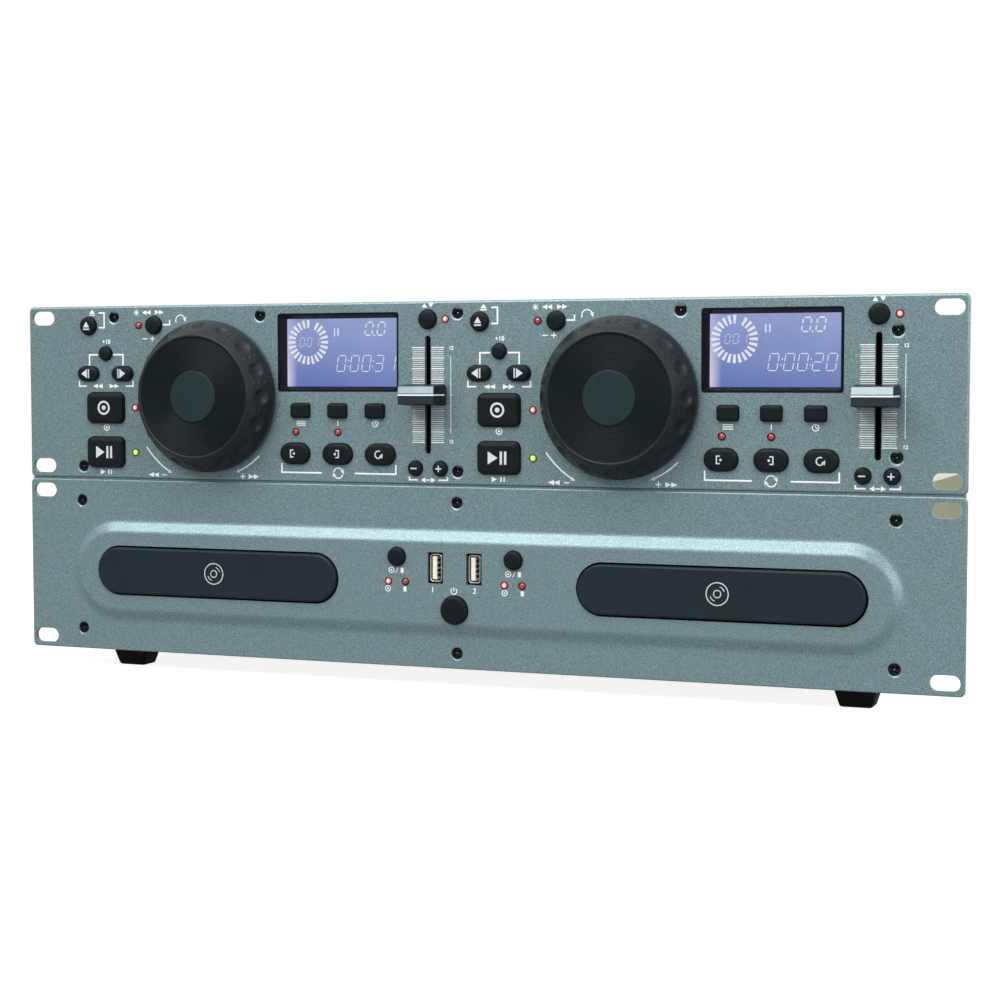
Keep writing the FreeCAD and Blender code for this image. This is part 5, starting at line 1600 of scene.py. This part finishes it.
class DISC_OT_inner_parts(bpy.types.Operator):
    """Finish the boards, loaders, posts and tracks inside"""
    bl_idname = "disc_player.inner_parts"
    bl_label = "Inner parts"

    def execute(self, context):
        board = circuit_lacquer("circuit_board")
        black = moulded("inner_black", tone(24, 25, 27), rough=0.45)
        steel = metal("inner_steel", tone(176, 178, 178), rough=0.3)
        gold = metal("jack_gold", tone(214, 178, 96), rough=0.2)
        white = moulded("jack_white", tone(228, 228, 224), rough=0.4)
        red = moulded("jack_red", tone(178, 28, 30), rough=0.4)

        def main_part(centre, normal):
            if centre.y > REAR + LINK_PROUD + NEAR:
                return 2
            if centre.y > REAR - SOCKET_DEPTH and centre.z > BOARD_TOP - NEAR:
                return 1
            return 0

        def control_part(centre, normal):
            return 0 if BOARD_FACE - NEAR < centre.y < BOARD_FACE + BOARD_T + NEAR else 1

        refined("main_board", "main_board_parts", "circuit_board", [board, black, gold], choose=main_part)
        refined("control_board", "control_board_parts", "circuit_board", [board, black],
                choose=control_part)
        rear = standing(0.0, REAR, SOCKET_Z) @ Matrix.Rotation(math.pi, 4, "Y")
        for row, finish, name in ((1, white, "upper"), (-1, red, "lower")):
            collars = Mould()
            for column in (-1, 0, 1):
                collars.spin(COLLAR, -(JACK_X + column * JACK_PITCH.x), row * JACK_PITCH.y / 2,
                             steps=COLLAR_STEPS)
            collars.cast(name + "_jack_collars", rear, body="housing", slot="inner_plastic",
                         finishes=[finish])
        for node, finish in (("loader_frames", black), ("jog_posts", steel), ("fader_tracks", black)):
            target = frame["nodes"][node].data.materials
            target.clear()
            target.append(finish)
        return {"FINISHED"}


# ---- Stage -------------------------------------------------------------------
WHITE = (1.0, 1.0, 1.0, 1.0)
FLOOR_SIDE = 12.0
FLOOR_LIFT = 0.87
FLOOR_MIRRORED = 0.35
BACKDROP_SLOPE = 1.3
BACKDROP_LEVEL = 0.85
FILM_WIDTH = 36.0
LIGHT_TARGET = (0.0, -0.1, 0.1)
# Each light's place and the width and height of its lit side, in metres.
SOFTBOXES = {
    "overhead": ((0.0, -0.5, 1.0), (0.9, 0.5)),
    "strip": ((-0.45, -1.3, 1.1), (1.7, 0.44)),
    "side": ((1.1, -0.9, 0.6), (0.5, 1.1)),
    "rim": ((1.2, 0.25, 0.5), (0.6, 0.6)),
}


def studio_floor():
    """Pale floor that shows white to the camera and keeps the object's soft shadow."""
    finish = Finish("studio_floor")
    dull = finish.node("ShaderNodeBsdfDiffuse", inputs={"Color": tone(108, 109, 110)})
    paper = finish.node("ShaderNodeBsdfDiffuse", inputs={"Color": tone(188, 189, 190)})
    lift = finish.node("ShaderNodeEmission", inputs={"Color": WHITE, "Strength": FLOOR_LIFT})
    bright = finish.node("ShaderNodeAddShader", inputs={0: paper, 1: lift})
    return finish.finished(finish.mixed(finish.seen(FLOOR_MIRRORED), dull, bright))


def studio_world(strength):
    """Even light from all round, white where it is seen, with a dim room behind the camera."""
    finish = Finish("studio", bpy.data.worlds, "ShaderNodeOutputWorld")
    away = finish.node("ShaderNodeSeparateXYZ", inputs={0: finish.place}, output="Y")
    room = finish.node("ShaderNodeBackground", inputs={"Color": WHITE, "Strength": strength})
    white = finish.node("ShaderNodeBackground", inputs={"Color": WHITE, "Strength": 1.0})
    backdrop = finish.held(away * BACKDROP_SLOPE + BACKDROP_LEVEL)
    bpy.context.scene.world = finish.finished(finish.mixed(finish.seen(backdrop), room, white))


def softbox(name, place, size, power):
    light = bpy.data.lights.new(name, "AREA")
    light.shape = "RECTANGLE"
    light.size, light.size_y = size
    light.energy = power
    lamp = bpy.data.objects.new(name, light)
    lamp.location = place
    lamp.rotation_euler = (Vector(LIGHT_TARGET) - Vector(place)).to_track_quat("-Z", "Y").to_euler()
    bpy.context.scene.collection.objects.link(lamp)


class DISC_OT_stage(bpy.types.Operator):
    """Set the floor, the lights and the camera"""
    bl_idname = "disc_player.stage"
    bl_label = "Stage"

    def execute(self, context):
        stage = context.scene.disc_stage
        mould = Mould()
        mould.plate(FLOOR_SIDE, FLOOR_SIDE)
        floor = mould.meshed("floor", [studio_floor()])
        studio_world(stage.room_light)
        for name, (place, size) in SOFTBOXES.items():
            softbox(name + "_softbox", place, size, getattr(stage, name + "_power"))
        camera = bpy.data.cameras.new("camera")
        camera.lens = stage.camera_lens
        camera.sensor_width = FILM_WIDTH
        viewer = bpy.data.objects.new("camera", camera)
        viewer.location = stage.camera_place
        viewer.rotation_euler = (math.radians(90) - stage.camera_elevation, 0.0, stage.camera_azimuth)
        context.scene.collection.objects.link(viewer)
        context.scene.camera = viewer
        context.scene.view_settings.view_transform = "Standard"
        return {"FINISHED"}


# ---- Sidebar and registration ------------------------------------------------
OPERATORS = (DISC_OT_stage, DISC_OT_panels, DISC_OT_boxes, DISC_OT_screws, DISC_OT_printing, DISC_OT_keys,
             DISC_OT_jog_wheels, DISC_OT_displays, DISC_OT_faders, DISC_OT_lamps, DISC_OT_trays,
             DISC_OT_sockets, DISC_OT_inner_parts)
GROUPS = {"disc_colours": DISC_PG_colours, "disc_sizes": DISC_PG_sizes, "disc_stage": DISC_PG_stage}


class DISC_PT_sidebar(bpy.types.Panel):
    """Lists the disc player's pieces and their settings"""
    bl_idname = "DISC_PT_sidebar"
    bl_label = "Disc player"
    bl_space_type = "VIEW_3D"
    bl_region_type = "UI"
    bl_category = "Disc player"

    def draw(self, context):
        for operator in OPERATORS:
            self.layout.operator(operator.bl_idname)
        for name, group in GROUPS.items():
            box = self.layout.box()
            for setting in group.__annotations__:
                box.prop(getattr(context.scene, name), setting)


def register():
    for group in GROUPS.values():
        bpy.utils.register_class(group)
    for name, group in GROUPS.items():
        setattr(bpy.types.Scene, name, bpy.props.PointerProperty(type=group))
    for operator in OPERATORS:
        bpy.utils.register_class(operator)
    bpy.utils.register_class(DISC_PT_sidebar)


def unregister():
    bpy.utils.unregister_class(DISC_PT_sidebar)
    for operator in reversed(OPERATORS):
        bpy.utils.unregister_class(operator)
    for name, group in reversed(GROUPS.items()):
        delattr(bpy.types.Scene, name)
        bpy.utils.unregister_class(group)


def main():
    register()
    for operator in OPERATORS:
        family, name = operator.bl_idname.split(".")
        getattr(getattr(bpy.ops, family), name)()


if __name__ == "__main__":
    main()
